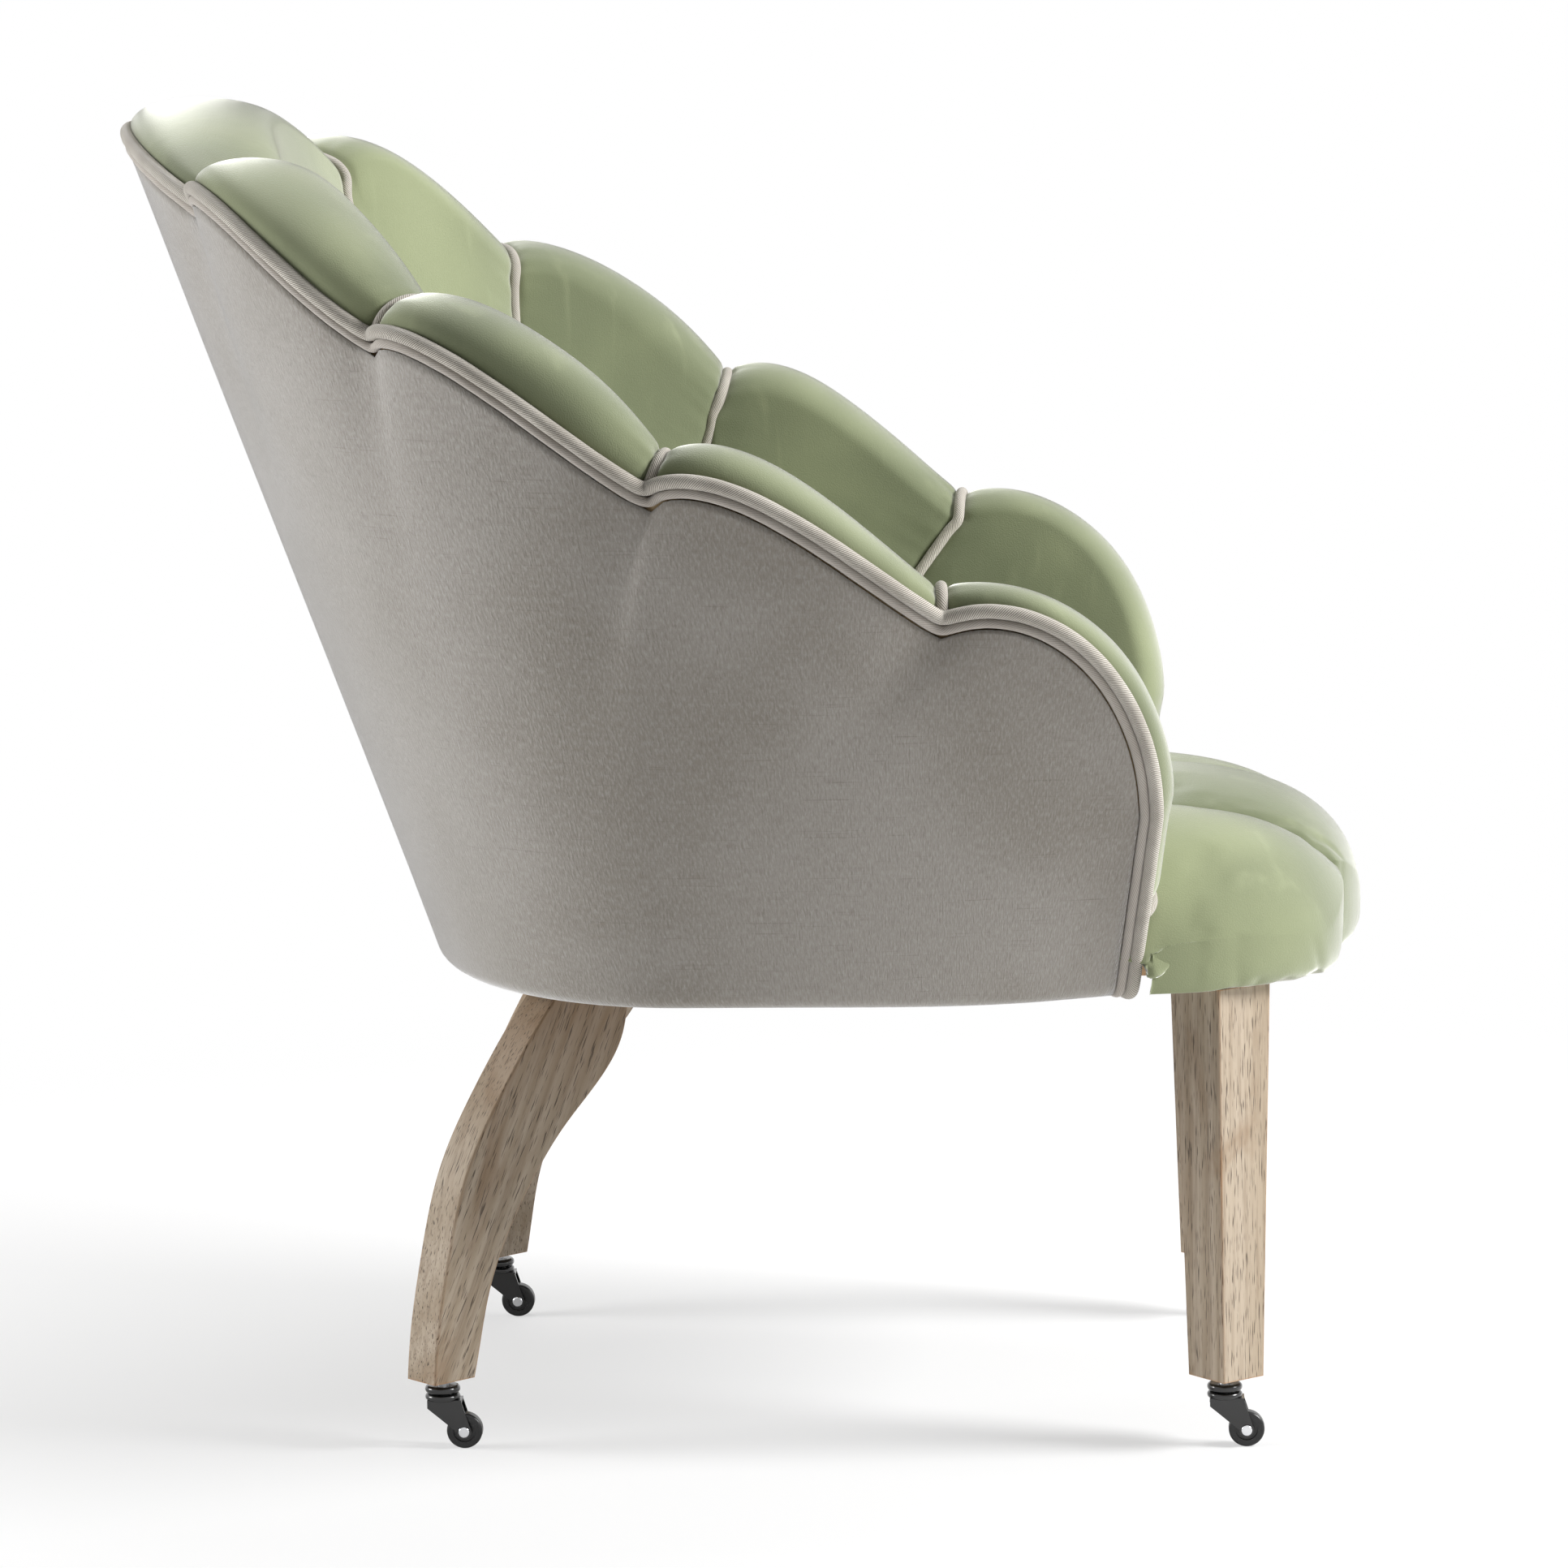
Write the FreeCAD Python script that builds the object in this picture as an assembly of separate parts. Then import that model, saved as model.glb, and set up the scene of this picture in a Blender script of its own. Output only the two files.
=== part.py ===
import FreeCAD, Part
import math
import os

from FreeCAD import Vector

# Scallop back chair, millimetres. +Z is up, the sitter faces -Y, the sitter's right is -X.
# The origin is on the floor, under the centre of the chair's overall box.

# Barrel body: plan of the outside face at its underside, and at the level of the scalloped rim.
# Each plan is half an ellipse behind the widest line and half of a longer one in front of it.
BODY_BASE_Z = 312.0
BASE_HALF_WIDTH = 266.0
BASE_WIDEST_Y = 39.0
BASE_BACK_REACH = 177.0
BASE_FRONT_REACH = 508.0
RIM_HALF_WIDTH = 361.0
RIM_WIDEST_Y = 50.0
RIM_BACK_REACH = 354.0
RIM_FRONT_REACH = 560.0
RIM_TAPER = 1.2

# Rim: plan angles from the back's centre of the notches between scallops, and their heights.
NOTCH_ANGLES = (29.0, 60.0, 90.5, 110.0)
NOTCH_HEIGHTS = (837.0, 757.0, 661.0, 575.0)
SCALLOP_RISES = (43.0, 30.0, 23.0, 26.0)
SCALLOP_LEAN = 0.66
ARM_FRONT_ANGLE = 126.0
ARM_RULE_Z = 460.0
ARM_SHOULDER_Z = 440.0
ARM_ARCH_DEPTH = 106.0
ARM_FOOT_Z = 322.0
NOTCH_DENT = 10.0

# Flutes: depth of wall and height of the roll at each notch seam, and the lobe's extra at its middle.
SEAM_DEPTHS = (66.0, 60.0, 50.0, 42.0)
SEAM_ROLLS = (18.0, 25.0, 24.0, 20.0)
SEAM_LEANS = (0.0, 28.0, 21.0, 0.0)
LOBE_DEPTHS = (34.0, 28.0, 26.0, 24.0, 16.0)
LOBE_ROLLS = (3.0, 7.0, 12.0, 1.0, -7.0)
ARM_FRONT_DEPTH = 42.0
ARM_FRONT_ROLL = 20.0
FOOT_SEAM_DEPTH = 46.0
FOOT_ANGLES = (18.0, 46.0, 73.0, 94.0)
ARM_FOOT_ANGLES = (94.0, 117.0, 121.5, 123.5)
ARM_FOOT_SHARES = (0.0, 0.6, 0.78, 1.0)

# Wall layers, as depths in from the outside face.
COVER_THICKNESS = 2.5
PLY_DEPTH = 4.5
PLY_THICKNESS = 10.0
PLY_DROP = 1.0
LAYER_GAP = 0.8
FOOT_GAP = 0.5

# Piping.
EDGE_PIPING_D = 9.5
LOWER_PIPING_D = 6.5
CHANNEL_PIPING_D = 8.0
PIPING_GAP = 0.6
CHANNEL_GAP = 1.2
PANEL_GAP_SHARE = 0.006
BORE_TAIL = 1
SOCKET_TAIL = 5
RING_POINTS = 17

# Seat frame.
RAIL_FOOT_Z = 314.0
RAIL_HEIGHT = 60.0
RAIL_THICKNESS = 24.0
JOINT_GAP = 0.5
BACK_RAIL_ANGLE = 58.0
SIDE_RAIL_ANGLES = (58.5, 119.0)
FRONT_RAIL_Y = -350.0
FRONT_BLOCK_X = 129.0
FRONT_BLOCK = ((155.0, -350.0), (180.0, -318.0), (186.0, -300.0), (156.0, -290.0), (156.0, -232.0))
FRONT_BLOCK_BACK_Y = -176.0
CROSS_RAIL_Y = 84.0
CROSS_RAIL_WIDTH = 50.0
CROSS_RAIL_HEIGHT = 36.0
REAR_BLOCK_REACH = 46.0
REAR_BLOCK_ANGLES = (50.0, 68.0)

# Seat pad, springs and underside.
SEAT_CREST_Z = 431.0
SEAT_NOSE_Z = 342.0
SEAT_FRONT_HALF_WIDTH = 232.0
SEAT_FRONT_CENTRE_Y = -200.0
SEAT_FRONT_REACH = 217.0
SEAT_ROUNDNESS = 3.0
SEAT_CROWN_POWER = 4.5
SEAT_TUCK_SHARE = 0.8
SEAT_LOBE_WIDTH = 166.0
SEAT_SEAM_SINK = 13.0
SEAT_SEAM_GAP = 1.2
SEAT_WALL_GAP = 3.0
SEAT_ARM_GAP = 3.0
EAR_HALF_WIDTH = 224.0
SEAT_PAD_FOOT_Z = 392.0
FOAM_INSET = 8.0
SPRING_WIRE_D = 3.6
SPRING_COUNT = 3
SPRING_PITCH = 92.0
SPRING_WIDTH = 34.0
SPRING_BENDS = 21
CLIP_SIZE = (22.0, 12.0, 8.0)
DUST_COVER_THICKNESS = 1.0
DUST_COVER_INSET = 12.0

# Legs.
LEG_FOOT_Z = 48.0
LEG_TURN = 40.4
FRONT_LEG_TOP = (177.0, -320.0)
FRONT_BOLT = (162.0, -311.0)
FRONT_LEG_FOOT = (186.0, -322.0)
FRONT_LEG_TOP_SIDE = 46.0
FRONT_LEG_FOOT_SIDE = 36.0
LEG_EDGE_R = 1.5
REAR_LEG_THICKNESS = 30.0
REAR_LEG_OFFSET = 9.0
REAR_LEG_TOP = (121.0, 170.0)
REAR_LEG_BACK = ((203.0, 279.0), (237.0, 236.0), (267.0, 187.0), (284.0, 132.0), (295.0, 78.0))
REAR_LEG_FRONT = ((258.0, 68.0), (248.0, 106.0), (230.0, 144.0), (209.0, 175.0), (182.0, 206.0),
                  (150.0, 234.0), (128.0, 262.0), (122.0, 288.0))
REAR_LEG_FOOT = (263.0, 298.0)
LEG_BOLT_D = 8.0
LEG_BOLT_RISE = 26.0
LEG_BOLT_DEPTH = 20.0
BOLT_GAP = 0.1

# Casters.
REAR_STEM = (191.0, 204.0)
FRONT_STEM = (187.0, -321.0)
WHEEL_D = 24.0
WHEEL_WIDTH = 10.0
WHEEL_EDGE = 2.0
WHEEL_DISH_D = 15.0
WHEEL_DISH_DEPTH = 1.5
CASTER_TRAIL = 14.5
STEM_D = 8.0
SOCKET_D = 11.0
SOCKET_DEPTH = 34.0
SOCKET_FLANGE_D = 14.0
SOCKET_FLANGE_THICKNESS = 1.5
CAP_D = 23.5
CAP_HEIGHT = 5.2
CAP_DROP = 3.2
RACE_HEIGHT = 4.4
CROWN_THICKNESS = 2.0
RIVET_D = 11.0
RIVET_HEIGHT = 1.6
FORK_PLATE = 1.5
FORK_HALF_LENGTH = 10.0
FORK_TOE = 5.0
FORK_LIP = 3.0
AXLE_D = 4.0
AXLE_HEAD_D = 7.4
AXLE_HEAD_HEIGHT = 1.6
RUN_GAP = 0.05
SIDE_GAP = 0.5

SPRING_Z = RAIL_FOOT_Z + RAIL_HEIGHT - SPRING_WIRE_D / 2 - JOINT_GAP
SPRING_FRONT_Y = FRONT_RAIL_Y + RAIL_THICKNESS + JOINT_GAP + CLIP_SIZE[1] / 2
FLUTE_BACK = PLY_DEPTH + PLY_THICKNESS + LAYER_GAP
RAIL_TOP_Z = RAIL_FOOT_Z + RAIL_HEIGHT
FLUTE_FOOT_Z = RAIL_TOP_Z + FOOT_GAP
RAIL_DEPTH = PLY_DEPTH + PLY_THICKNESS + JOINT_GAP
EDGE_LIP = EDGE_PIPING_D / 2 + PIPING_GAP
CHANNEL_MARGIN = CHANNEL_PIPING_D / 2 + CHANNEL_GAP
ARM_LOBE = len(NOTCH_ANGLES)
SIDES = (("right", -1), ("left", 1))
UP = Vector(0, 0, 1)


def save(shape, name):
    """Write one sub-part."""
    shape.exportStep("parts/" + name + ".step")


def on_side(shape, side):
    """Shapes are made on the sitter's left (+X) and reflected for the right."""
    return shape if side > 0 else shape.mirror(Vector(0, 0, 0), Vector(1, 0, 0))


def mix(a, b, share):
    return a + (b - a) * share


def lookup(x, xs, ys):
    """Straight-line interpolation in a short list."""
    if x <= xs[0]:
        return ys[0]
    for x0, x1, y0, y1 in zip(xs, xs[1:], ys, ys[1:]):
        if x <= x1:
            return mix(y0, y1, (x - x0) / (x1 - x0))
    return ys[-1]


def shares(count, start=0.0, end=1.0):
    return [mix(start, end, i / (count - 1)) for i in range(count)]


# Outside face of the barrel

def plan_point(half_width, widest_y, back, front, taper, angle):
    """Point of a plan at an angle in degrees from the back's centre, towards +X."""
    sine, cosine = math.sin(math.radians(angle)), math.cos(math.radians(angle))
    if cosine >= 0:
        return half_width * sine, widest_y + back * cosine
    return math.copysign(half_width * abs(sine) ** taper, sine), widest_y + front * cosine


def rule_height(angle):
    """Height at which the wall's straight lines meet the rim's plan."""
    return lookup(abs(angle), (0.0,) + NOTCH_ANGLES + (ARM_FRONT_ANGLE,),
                  (NOTCH_HEIGHTS[0],) + NOTCH_HEIGHTS + (ARM_RULE_Z,))


def face_point(angle, z):
    """The outside face is ruled: straight lines from the base plan to the rim plan."""
    x0, y0 = plan_point(BASE_HALF_WIDTH, BASE_WIDEST_Y, BASE_BACK_REACH, BASE_FRONT_REACH, 1.0, angle)
    x1, y1 = plan_point(RIM_HALF_WIDTH, RIM_WIDEST_Y, RIM_BACK_REACH, RIM_FRONT_REACH, RIM_TAPER, angle)
    share = (z - BODY_BASE_Z) / (rule_height(angle) - BODY_BASE_Z)
    return Vector(mix(x0, x1, share), mix(y0, y1, share), z)


def outward(angle, z):
    """Level direction square to the outside face."""
    step = 0.2
    along = face_point(angle + step, z) - face_point(angle - step, z)
    return Vector(-along.y, along.x, 0).normalize()


def wall_point(angle, z, depth):
    """Point at a level depth in from the outside face."""
    return face_point(angle, z) - outward(angle, z) * depth


def angle_at(y, z):
    """Plan angle of the point of the arm's outside face with this Y."""
    low, high = 90.0, 140.0
    for _ in range(40):
        middle = (low + high) / 2
        if face_point(middle, z).y > y:
            low = middle
        else:
            high = middle
    return low


# Rim and lobes: lobe 0 is the back's centre, lobes 1 to 3 follow it, and lobe 4 is the arm

ARM_ARCH_Y = face_point(ARM_FRONT_ANGLE, ARM_SHOULDER_Z).y + ARM_ARCH_DEPTH
ARCH_START = -math.asin((face_point(NOTCH_ANGLES[-1], NOTCH_HEIGHTS[-1]).y - ARM_ARCH_Y) / ARM_ARCH_DEPTH)
ARM_ARCH_RISE = (NOTCH_HEIGHTS[-1] - ARM_SHOULDER_Z) / math.cos(ARCH_START)
ARCH_RUN = 0.58


def pillow(v, power=2.4):
    """Rounded profile from seam to seam."""
    return max(1 - abs(2 * v - 1) ** power, 0.0) ** 0.8


def dent(lobe, v):
    """Depth by which a notch pulls the rim in."""
    end = min(v, 0.5) if lobe == ARM_LOBE else v
    return NOTCH_DENT * (1 - pillow(end, 2.0)) ** 1.5


def arm_station(v):
    """Plan angle and height along the arm's edge: an elliptic arch, then straight down its front."""
    if v < ARCH_RUN:
        turn = mix(ARCH_START, math.pi / 2, v / ARCH_RUN)
        z = ARM_SHOULDER_Z + ARM_ARCH_RISE * math.cos(turn)
        return min(angle_at(ARM_ARCH_Y - ARM_ARCH_DEPTH * math.sin(turn), z), ARM_FRONT_ANGLE), z
    return ARM_FRONT_ANGLE, mix(ARM_SHOULDER_Z, ARM_FOOT_Z, (v - ARCH_RUN) / (1 - ARCH_RUN))


def rim_station(lobe, v):
    """Plan angle and height of the scalloped edge at a share v of a lobe."""
    if lobe == 0:
        return (mix(-NOTCH_ANGLES[0], NOTCH_ANGLES[0], v),
                NOTCH_HEIGHTS[0] + SCALLOP_RISES[0] * 4 * v * (1 - v))
    if lobe == ARM_LOBE:
        return arm_station(v)
    rise = max(math.sin(math.pi * v ** SCALLOP_LEAN), 0.0) ** 1.2
    return (mix(NOTCH_ANGLES[lobe - 1], NOTCH_ANGLES[lobe], v),
            mix(NOTCH_HEIGHTS[lobe - 1], NOTCH_HEIGHTS[lobe], v) + SCALLOP_RISES[lobe] * rise)


def foot_station(lobe, v):
    """Plan angle and height of a flute's lower end."""
    if lobe == 0:
        return mix(-FOOT_ANGLES[0], FOOT_ANGLES[0], v), FLUTE_FOOT_Z
    if lobe == ARM_LOBE:
        corner = ARM_FOOT_SHARES[-2]
        drop = max((v - corner) / (1 - corner), 0.0)
        return lookup(v, ARM_FOOT_SHARES, ARM_FOOT_ANGLES), mix(FLUTE_FOOT_Z, ARM_FOOT_Z + FOOT_GAP, drop)
    return mix(FOOT_ANGLES[lobe - 1], FOOT_ANGLES[lobe], v), FLUTE_FOOT_Z


def seam_value(values, front, lobe, v):
    """Value between a lobe's two seams."""
    if lobe == 0:
        return values[0]
    last = front if lobe == ARM_LOBE else values[lobe]
    return mix(values[lobe - 1], last, v)


def inset(lobe, v, z):
    """The notch's dent at a height: it dies out down the wall."""
    rim_z = rim_station(lobe, v)[1]
    share = (z - FLUTE_FOOT_Z) / max(rim_z - FLUTE_FOOT_Z, 1.0)
    return dent(lobe, v) * min(max(share, 0.0), 1.0) ** 1.5


def roll_axes(lobe, v):
    """Outward direction and the direction in which the roll rises above the edge."""
    angle, z = rim_station(lobe, v)
    out = outward(angle, z)
    up = (face_point(angle, z + 1) - face_point(angle, z - 1)).normalize()
    forward = up.cross(out).normalize()
    if forward.y > 0:
        forward = forward * -1
    if lobe == 0:
        return out, up
    if lobe == ARM_LOBE:
        lean = min(v / ARCH_RUN, 1.0) * 90.0
    else:
        lean = lookup(angle, NOTCH_ANGLES, SEAM_LEANS)
    lean = math.radians(lean)
    return out, up * math.cos(lean) + forward * math.sin(lean)


def edge_normal(lobe, v):
    """Direction up from the scalloped edge, square to it, in the outside face."""
    step = 0.01
    a, b = [rim_place(lobe, min(max(v + way, 0.0), 1.0)) for way in (-step, step)]
    return (b - a).cross(outward(*rim_station(lobe, v))).normalize()


def rim_place(lobe, v):
    return face_point(*rim_station(lobe, v)) - outward(*rim_station(lobe, v)) * dent(lobe, v)


def below_edge(lobe, v, depth, drop):
    """Point in from the outside face and square below the edge, mitred at the notches."""
    angle, z = rim_station(lobe, v)
    normal = edge_normal(lobe, v)
    if lobe and v < 0.001:
        other = edge_normal(lobe - 1, 1.0)
    elif lobe < ARM_LOBE and v > 0.999:
        other = edge_normal(lobe + 1, 0.0)
    elif lobe == 0 and v < 0.001:
        other = edge_normal(1, 0.0)
        other = Vector(-other.x, other.y, other.z)
    else:
        other = normal
    mitre = (normal + other).normalize()
    return (face_point(angle, z) - outward(angle, z) * (dent(lobe, v) + depth)
            - mitre * (drop / max(mitre.dot(normal), 0.5)))


def edge_point(lobe, v, depth, rise):
    """Point by the scalloped edge: in from the outside face, and above the edge in the roll's direction."""
    angle, z = rim_station(lobe, v)
    out, up = roll_axes(lobe, v)
    return face_point(angle, z) - out * (dent(lobe, v) + depth) + up * rise


def velvet_point(lobe, v, w, fullness=1.0):
    """Point of a flute's velvet: w runs 0 to 1 over the roll, then 1 to 2 down the inside."""
    angle, z = rim_station(lobe, v)
    seam_depth = seam_value(SEAM_DEPTHS, ARM_FRONT_DEPTH, lobe, v)
    arm_front = lobe == ARM_LOBE and v > 0.3
    extra = fullness * LOBE_DEPTHS[lobe] * (1.0 if arm_front else pillow(v))
    if w <= 1:
        share = 1.0 if arm_front else max(math.sin(math.pi * v ** (2.0 if 0 < lobe < ARM_LOBE else 1.0)), 0.0)
        if lobe == ARM_LOBE and not arm_front:
            share = math.sin(math.pi * v / 0.6)
        roll = seam_value(SEAM_ROLLS, ARM_FRONT_ROLL, lobe, v) + LOBE_ROLLS[lobe] * share ** 0.9
        turn = math.pi * w
        inward = (seam_depth + extra) / 2 * (1 - math.cos(turn))
        return edge_point(lobe, v, inward, roll * max(math.sin(turn), 0.0) ** 0.9)
    foot_angle, foot_z = foot_station(lobe, v)
    down = w - 1
    here, height = mix(angle, foot_angle, down), mix(z, foot_z, down)
    depth = mix(seam_depth, min(FOOT_SEAM_DEPTH, seam_depth), down) + extra * (1 - 0.5 * down)
    return wall_point(here, height, depth + inset(lobe, v, height))


def backing_point(lobe, v, w):
    """Point of a flute's back, down the plywood's inside: w runs 1 to 2 from the rim to the foot."""
    angle, z = rim_station(lobe, v)
    foot_angle, foot_z = foot_station(lobe, v)
    down = w - 1
    height = mix(z, foot_z, down)
    lifted = roll_axes(lobe, v)[1] * (EDGE_LIP * 0.7 * (1 - down))
    return wall_point(mix(angle, foot_angle, down), height, FLUTE_BACK + inset(lobe, v, height)) + lifted


# Solids from grids of points

def spread(lines):
    """Mean chord-length parameters of a set of lines of points, from 0 to 1."""
    totals = [0.0] * len(lines[0])
    for line in lines:
        run = [0.0]
        for a, b in zip(line, line[1:]):
            run.append(run[-1] + a.distanceToPoint(b))
        totals = [total + here / max(run[-1], 1e-6) for total, here in zip(totals, run)]
    return [total / totals[-1] for total in totals]


def through(points, parameters):
    """Smooth curve that passes each point at its parameter."""
    curve = Part.BSplineCurve()
    curve.interpolate(Points=points, Parameters=parameters)
    return curve


def surface_of(rows, across=None):
    """Smooth surface through a grid of points."""
    across = across or spread(rows)
    along = spread(list(zip(*rows)))
    lines = [through(row, across) for row in rows]
    columns = [through(list(poles), along) for poles in zip(*[line.getPoles() for line in lines])]
    surface = Part.BSplineSurface()
    surface.buildFromPolesMultsKnots([column.getPoles() for column in columns],
                                     lines[0].getMultiplicities(), columns[0].getMultiplicities(),
                                     lines[0].getKnots(), columns[0].getKnots(),
                                     False, False, lines[0].Degree, columns[0].Degree)
    return surface


def edges_of(surface):
    """The four boundary curves of a surface, as edges."""
    u0, u1, v0, v1 = surface.bounds()
    return [curve.toShape() for curve in
            (surface.uIso(u0), surface.uIso(u1), surface.vIso(v0), surface.vIso(v1))]


def solid_of(faces):
    """Sew faces into one closed solid."""
    sewn = Part.Compound(faces)
    sewn.sewShape(0.01)
    solid = Part.Solid(sewn.Shells[0])
    if solid.Volume < 0:
        solid.reverse()
    return solid


def slab(front_rows, back_rows):
    """Closed solid between two grids, joined by straight sides all round."""
    front, back = surface_of(front_rows), surface_of(back_rows)
    sides = [Part.makeRuledSurface(a, b, 1) for a, b in zip(edges_of(front), edges_of(back))]
    return solid_of([front.toShape(), back.toShape()] + sides)


def prism(points, foot, height):
    """Upright prism on a polygon of (x, y) corners."""
    corners = [Vector(x, y, foot) for x, y in points]
    return Part.Face(Part.makePolygon(corners + corners[:1])).extrude(Vector(0, 0, height))


def box(size, corner):
    return Part.makeBox(*size, Vector(*corner))


def rod(diameter, length, base, direction=UP):
    return Part.makeCylinder(diameter / 2, length, Vector(*base), direction)


def tube(centres, diameter, end_planes=(None, None)):
    """Round cord through a list of centres; an end plane's normal mitres that end."""
    rings = []
    last = len(centres) - 1
    side = None
    for i, centre in enumerate(centres):
        along = (centres[min(i + 1, last)] - centres[max(i - 1, 0)]).normalize()
        if side is None:
            side = along.cross(Vector(0.3, 0.2, 1))
        side = (side - along * side.dot(along)).normalize()
        across = along.cross(side)
        ring = [centre + (side * math.cos(turn) + across * math.sin(turn)) * (diameter / 2)
                for turn in shares(RING_POINTS, 0, 2 * math.pi)]
        plane = end_planes[0] if i == 0 else end_planes[1] if i == last else None
        if plane is not None:
            ring = [p - along * ((p - centre).dot(plane) / along.dot(plane)) for p in ring]
        ring[-1] = ring[0]
        rings.append(ring)
    surface = surface_of(rings)
    u0, u1, v0, v1 = surface.bounds()
    caps = [Part.Face(Part.Wire(surface.vIso(v).toShape())) for v in (v0, v1)]
    return solid_of([surface.toShape()] + caps)


# Flutes and wall layers

def clear_shares(lobe, w):
    """Places across a flute, clear of the channel piping in its seams."""
    near, ahead = 0.05, 0.02
    starts = []
    for end, inside in ((0.0, near), (1.0, 1.0 - near)):
        seam = velvet_point(lobe, end, w, 0.0)
        along = (velvet_point(lobe, end, w + ahead, 0.0) - seam).normalize()
        across = velvet_point(lobe, inside, w, 0.0) - seam
        starts.append(CHANNEL_MARGIN * near / across.cross(along).Length)
    return shares(11, starts[0], 1.0 if lobe == ARM_LOBE else 1 - starts[1])


def flute(lobe):
    """One velvet flute with its stuffing, over the rim and down to the seat frame."""
    rim = clear_shares(lobe, 1.0)
    downs = shares(6, 1.0, 2.0)
    roll = [[edge_point(lobe, v, 0.0, EDGE_LIP) for v in rim]]
    roll += [[velvet_point(lobe, v, w) for v in rim] for w in shares(7)[1:]]
    inside = [[velvet_point(lobe, v, w) for v in clear_shares(lobe, w)] for w in downs]
    back = [[backing_point(lobe, v, w) for v in clear_shares(lobe, w)] for w in downs]
    across = spread(roll + inside)
    roll, inside, back = [surface_of(rows, across) for rows in (roll, inside, back)]
    roll_edges, inside_edges, back_edges = edges_of(roll), edges_of(inside), edges_of(back)
    faces = [surface.toShape() for surface in (roll, inside, back)]
    faces.append(Part.makeRuledSurface(roll_edges[2], back_edges[2], 1))
    for i in (0, 1, 3):
        faces.append(Part.makeRuledSurface(inside_edges[i], back_edges[i], 1))
    for i in (0, 1):
        corners = [roll_edges[i].valueAt(t) for t in roll_edges[i].ParameterRange]
        inner = back_edges[i].valueAt(back_edges[i].ParameterRange[0])
        lines = [Part.makeLine(corner, inner) for corner in corners]
        faces.append(Part.Face(Part.Wire([roll_edges[i], lines[1], lines[0]])))
    return solid_of(faces)


def stations(first, last):
    """Places (side, lobe, v) along the rim from one to another, each counted in lobes from the centre."""
    places = []
    for i in range(-ARM_LOBE, ARM_LOBE + 1):
        side = -1 if i < 0 else 1
        lobe = abs(i)
        reach = ARCH_RUN if lobe == ARM_LOBE else 1.0
        across = [reach * (1 - math.cos(math.pi * share)) / 2 for share in shares(11)]
        if i < 0:
            across = across[::-1]
        if first <= i <= last:
            new = [(side, lobe, v) for v in across]
            places += new[1:] if places else new
    return places


def layer_line(side, lobe, v, depth, drop, foot_z):
    """Points down a wall layer, from beside the scalloped edge to the layer's foot."""
    angle, z = rim_station(lobe, v)
    foot_angle, foot = foot_station(lobe, v)[0], FLUTE_FOOT_Z
    if lobe == ARM_LOBE:
        foot_angle = mix(FOOT_ANGLES[-1], ARM_FRONT_ANGLE, v / ARCH_RUN)
    line = [below_edge(lobe, v, depth, drop)]
    shift = line[0] - below_edge(lobe, v, depth, 0.0)
    kept = (v / ARCH_RUN) ** 2 if lobe == ARM_LOBE else 0.0
    for down in (0.12, 0.3, 0.52, 0.76, 1.0):
        here, height = mix(angle, foot_angle, down), mix(z, foot, down)
        line.append(wall_point(here, height, depth + inset(lobe, v, height)) + shift * (1 - down * (1 - kept)))
    line += [wall_point(foot_angle, mix(foot, foot_z, share), depth) + shift * kept for share in (0.5, 1.0)]
    return [Vector(p.x * side, p.y, p.z) for p in line]


def layer(places, depth, thickness, drop, foot_z):
    """Wall layer that follows the scallops, between two depths."""
    faces = []
    for here in (depth, depth + thickness):
        faces.append([layer_line(side, lobe, v, here, drop, foot_z) for side, lobe, v in places])
    return slab(*faces)


def trimmed(places, gap_at_start, gap_at_end):
    """Leave a gap beside the end stations, for the joint with the next panel."""
    places = list(places)
    for end, gap in ((0, gap_at_start), (-1, gap_at_end)):
        side, lobe, v = places[end]
        if gap:
            places[end] = (side, lobe, v + PANEL_GAP_SHARE if v < 0.5 else v - PANEL_GAP_SHARE)
    return places


def ply_shell(first, last, gap_at_start, gap_at_end):
    places = trimmed(stations(first, last), gap_at_start, gap_at_end)
    return layer(places, PLY_DEPTH, PLY_THICKNESS, PLY_DROP, RAIL_FOOT_Z)


def cover():
    """Woven cover of the whole outside, from under the rails to below the piping."""
    drop = EDGE_PIPING_D / 2 + LOWER_PIPING_D + 2 * PIPING_GAP
    return layer(stations(-ARM_LOBE, ARM_LOBE), 0.0, COVER_THICKNESS, drop, BODY_BASE_Z)


# Piping

def edge_cord(diameter, depth, drop):
    """Piping along the scallops: one mitred length for each, and one down each arm front."""
    lengths = []
    for i in range(-ARM_LOBE, ARM_LOBE + 1):
        side, lobe = (-1 if i < 0 else 1), abs(i)
        count = 22 if lobe == ARM_LOBE else 14
        points = [below_edge(lobe, v, depth, drop) for v in shares(count)]
        points = [Vector(p.x * side, p.y, p.z) for p in points]
        lengths.append(points if i >= 0 else points[::-1])
    cords = []
    for i, points in enumerate(lengths):
        planes = [None, None]
        if i > 0:
            other = lengths[i - 1]
            planes[0] = (points[1] - points[0]).normalize() + (other[-1] - other[-2]).normalize()
            points[0] = points[0] + (points[1] - points[0]).normalize() * PIPING_GAP / 2
        if i < len(lengths) - 1:
            other = lengths[i + 1]
            planes[1] = (points[-1] - points[-2]).normalize() + (other[1] - other[0]).normalize()
        cords.append(tube(points, diameter, planes))
    return Part.Compound(cords)


def channel_cords():
    """Piping in the seams between flutes, from the rim's roll to the seat frame."""
    cords = []
    for lobe in range(1, ARM_LOBE + 1):
        places = shares(7)[1:] + [1 + share for share in shares(6)[1:]]
        cord = tube([velvet_point(lobe, 0.0, w) for w in places], CHANNEL_PIPING_D)
        cords += [cord, on_side(cord, -1)]
    return Part.Compound(cords)


# Seat frame

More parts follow.
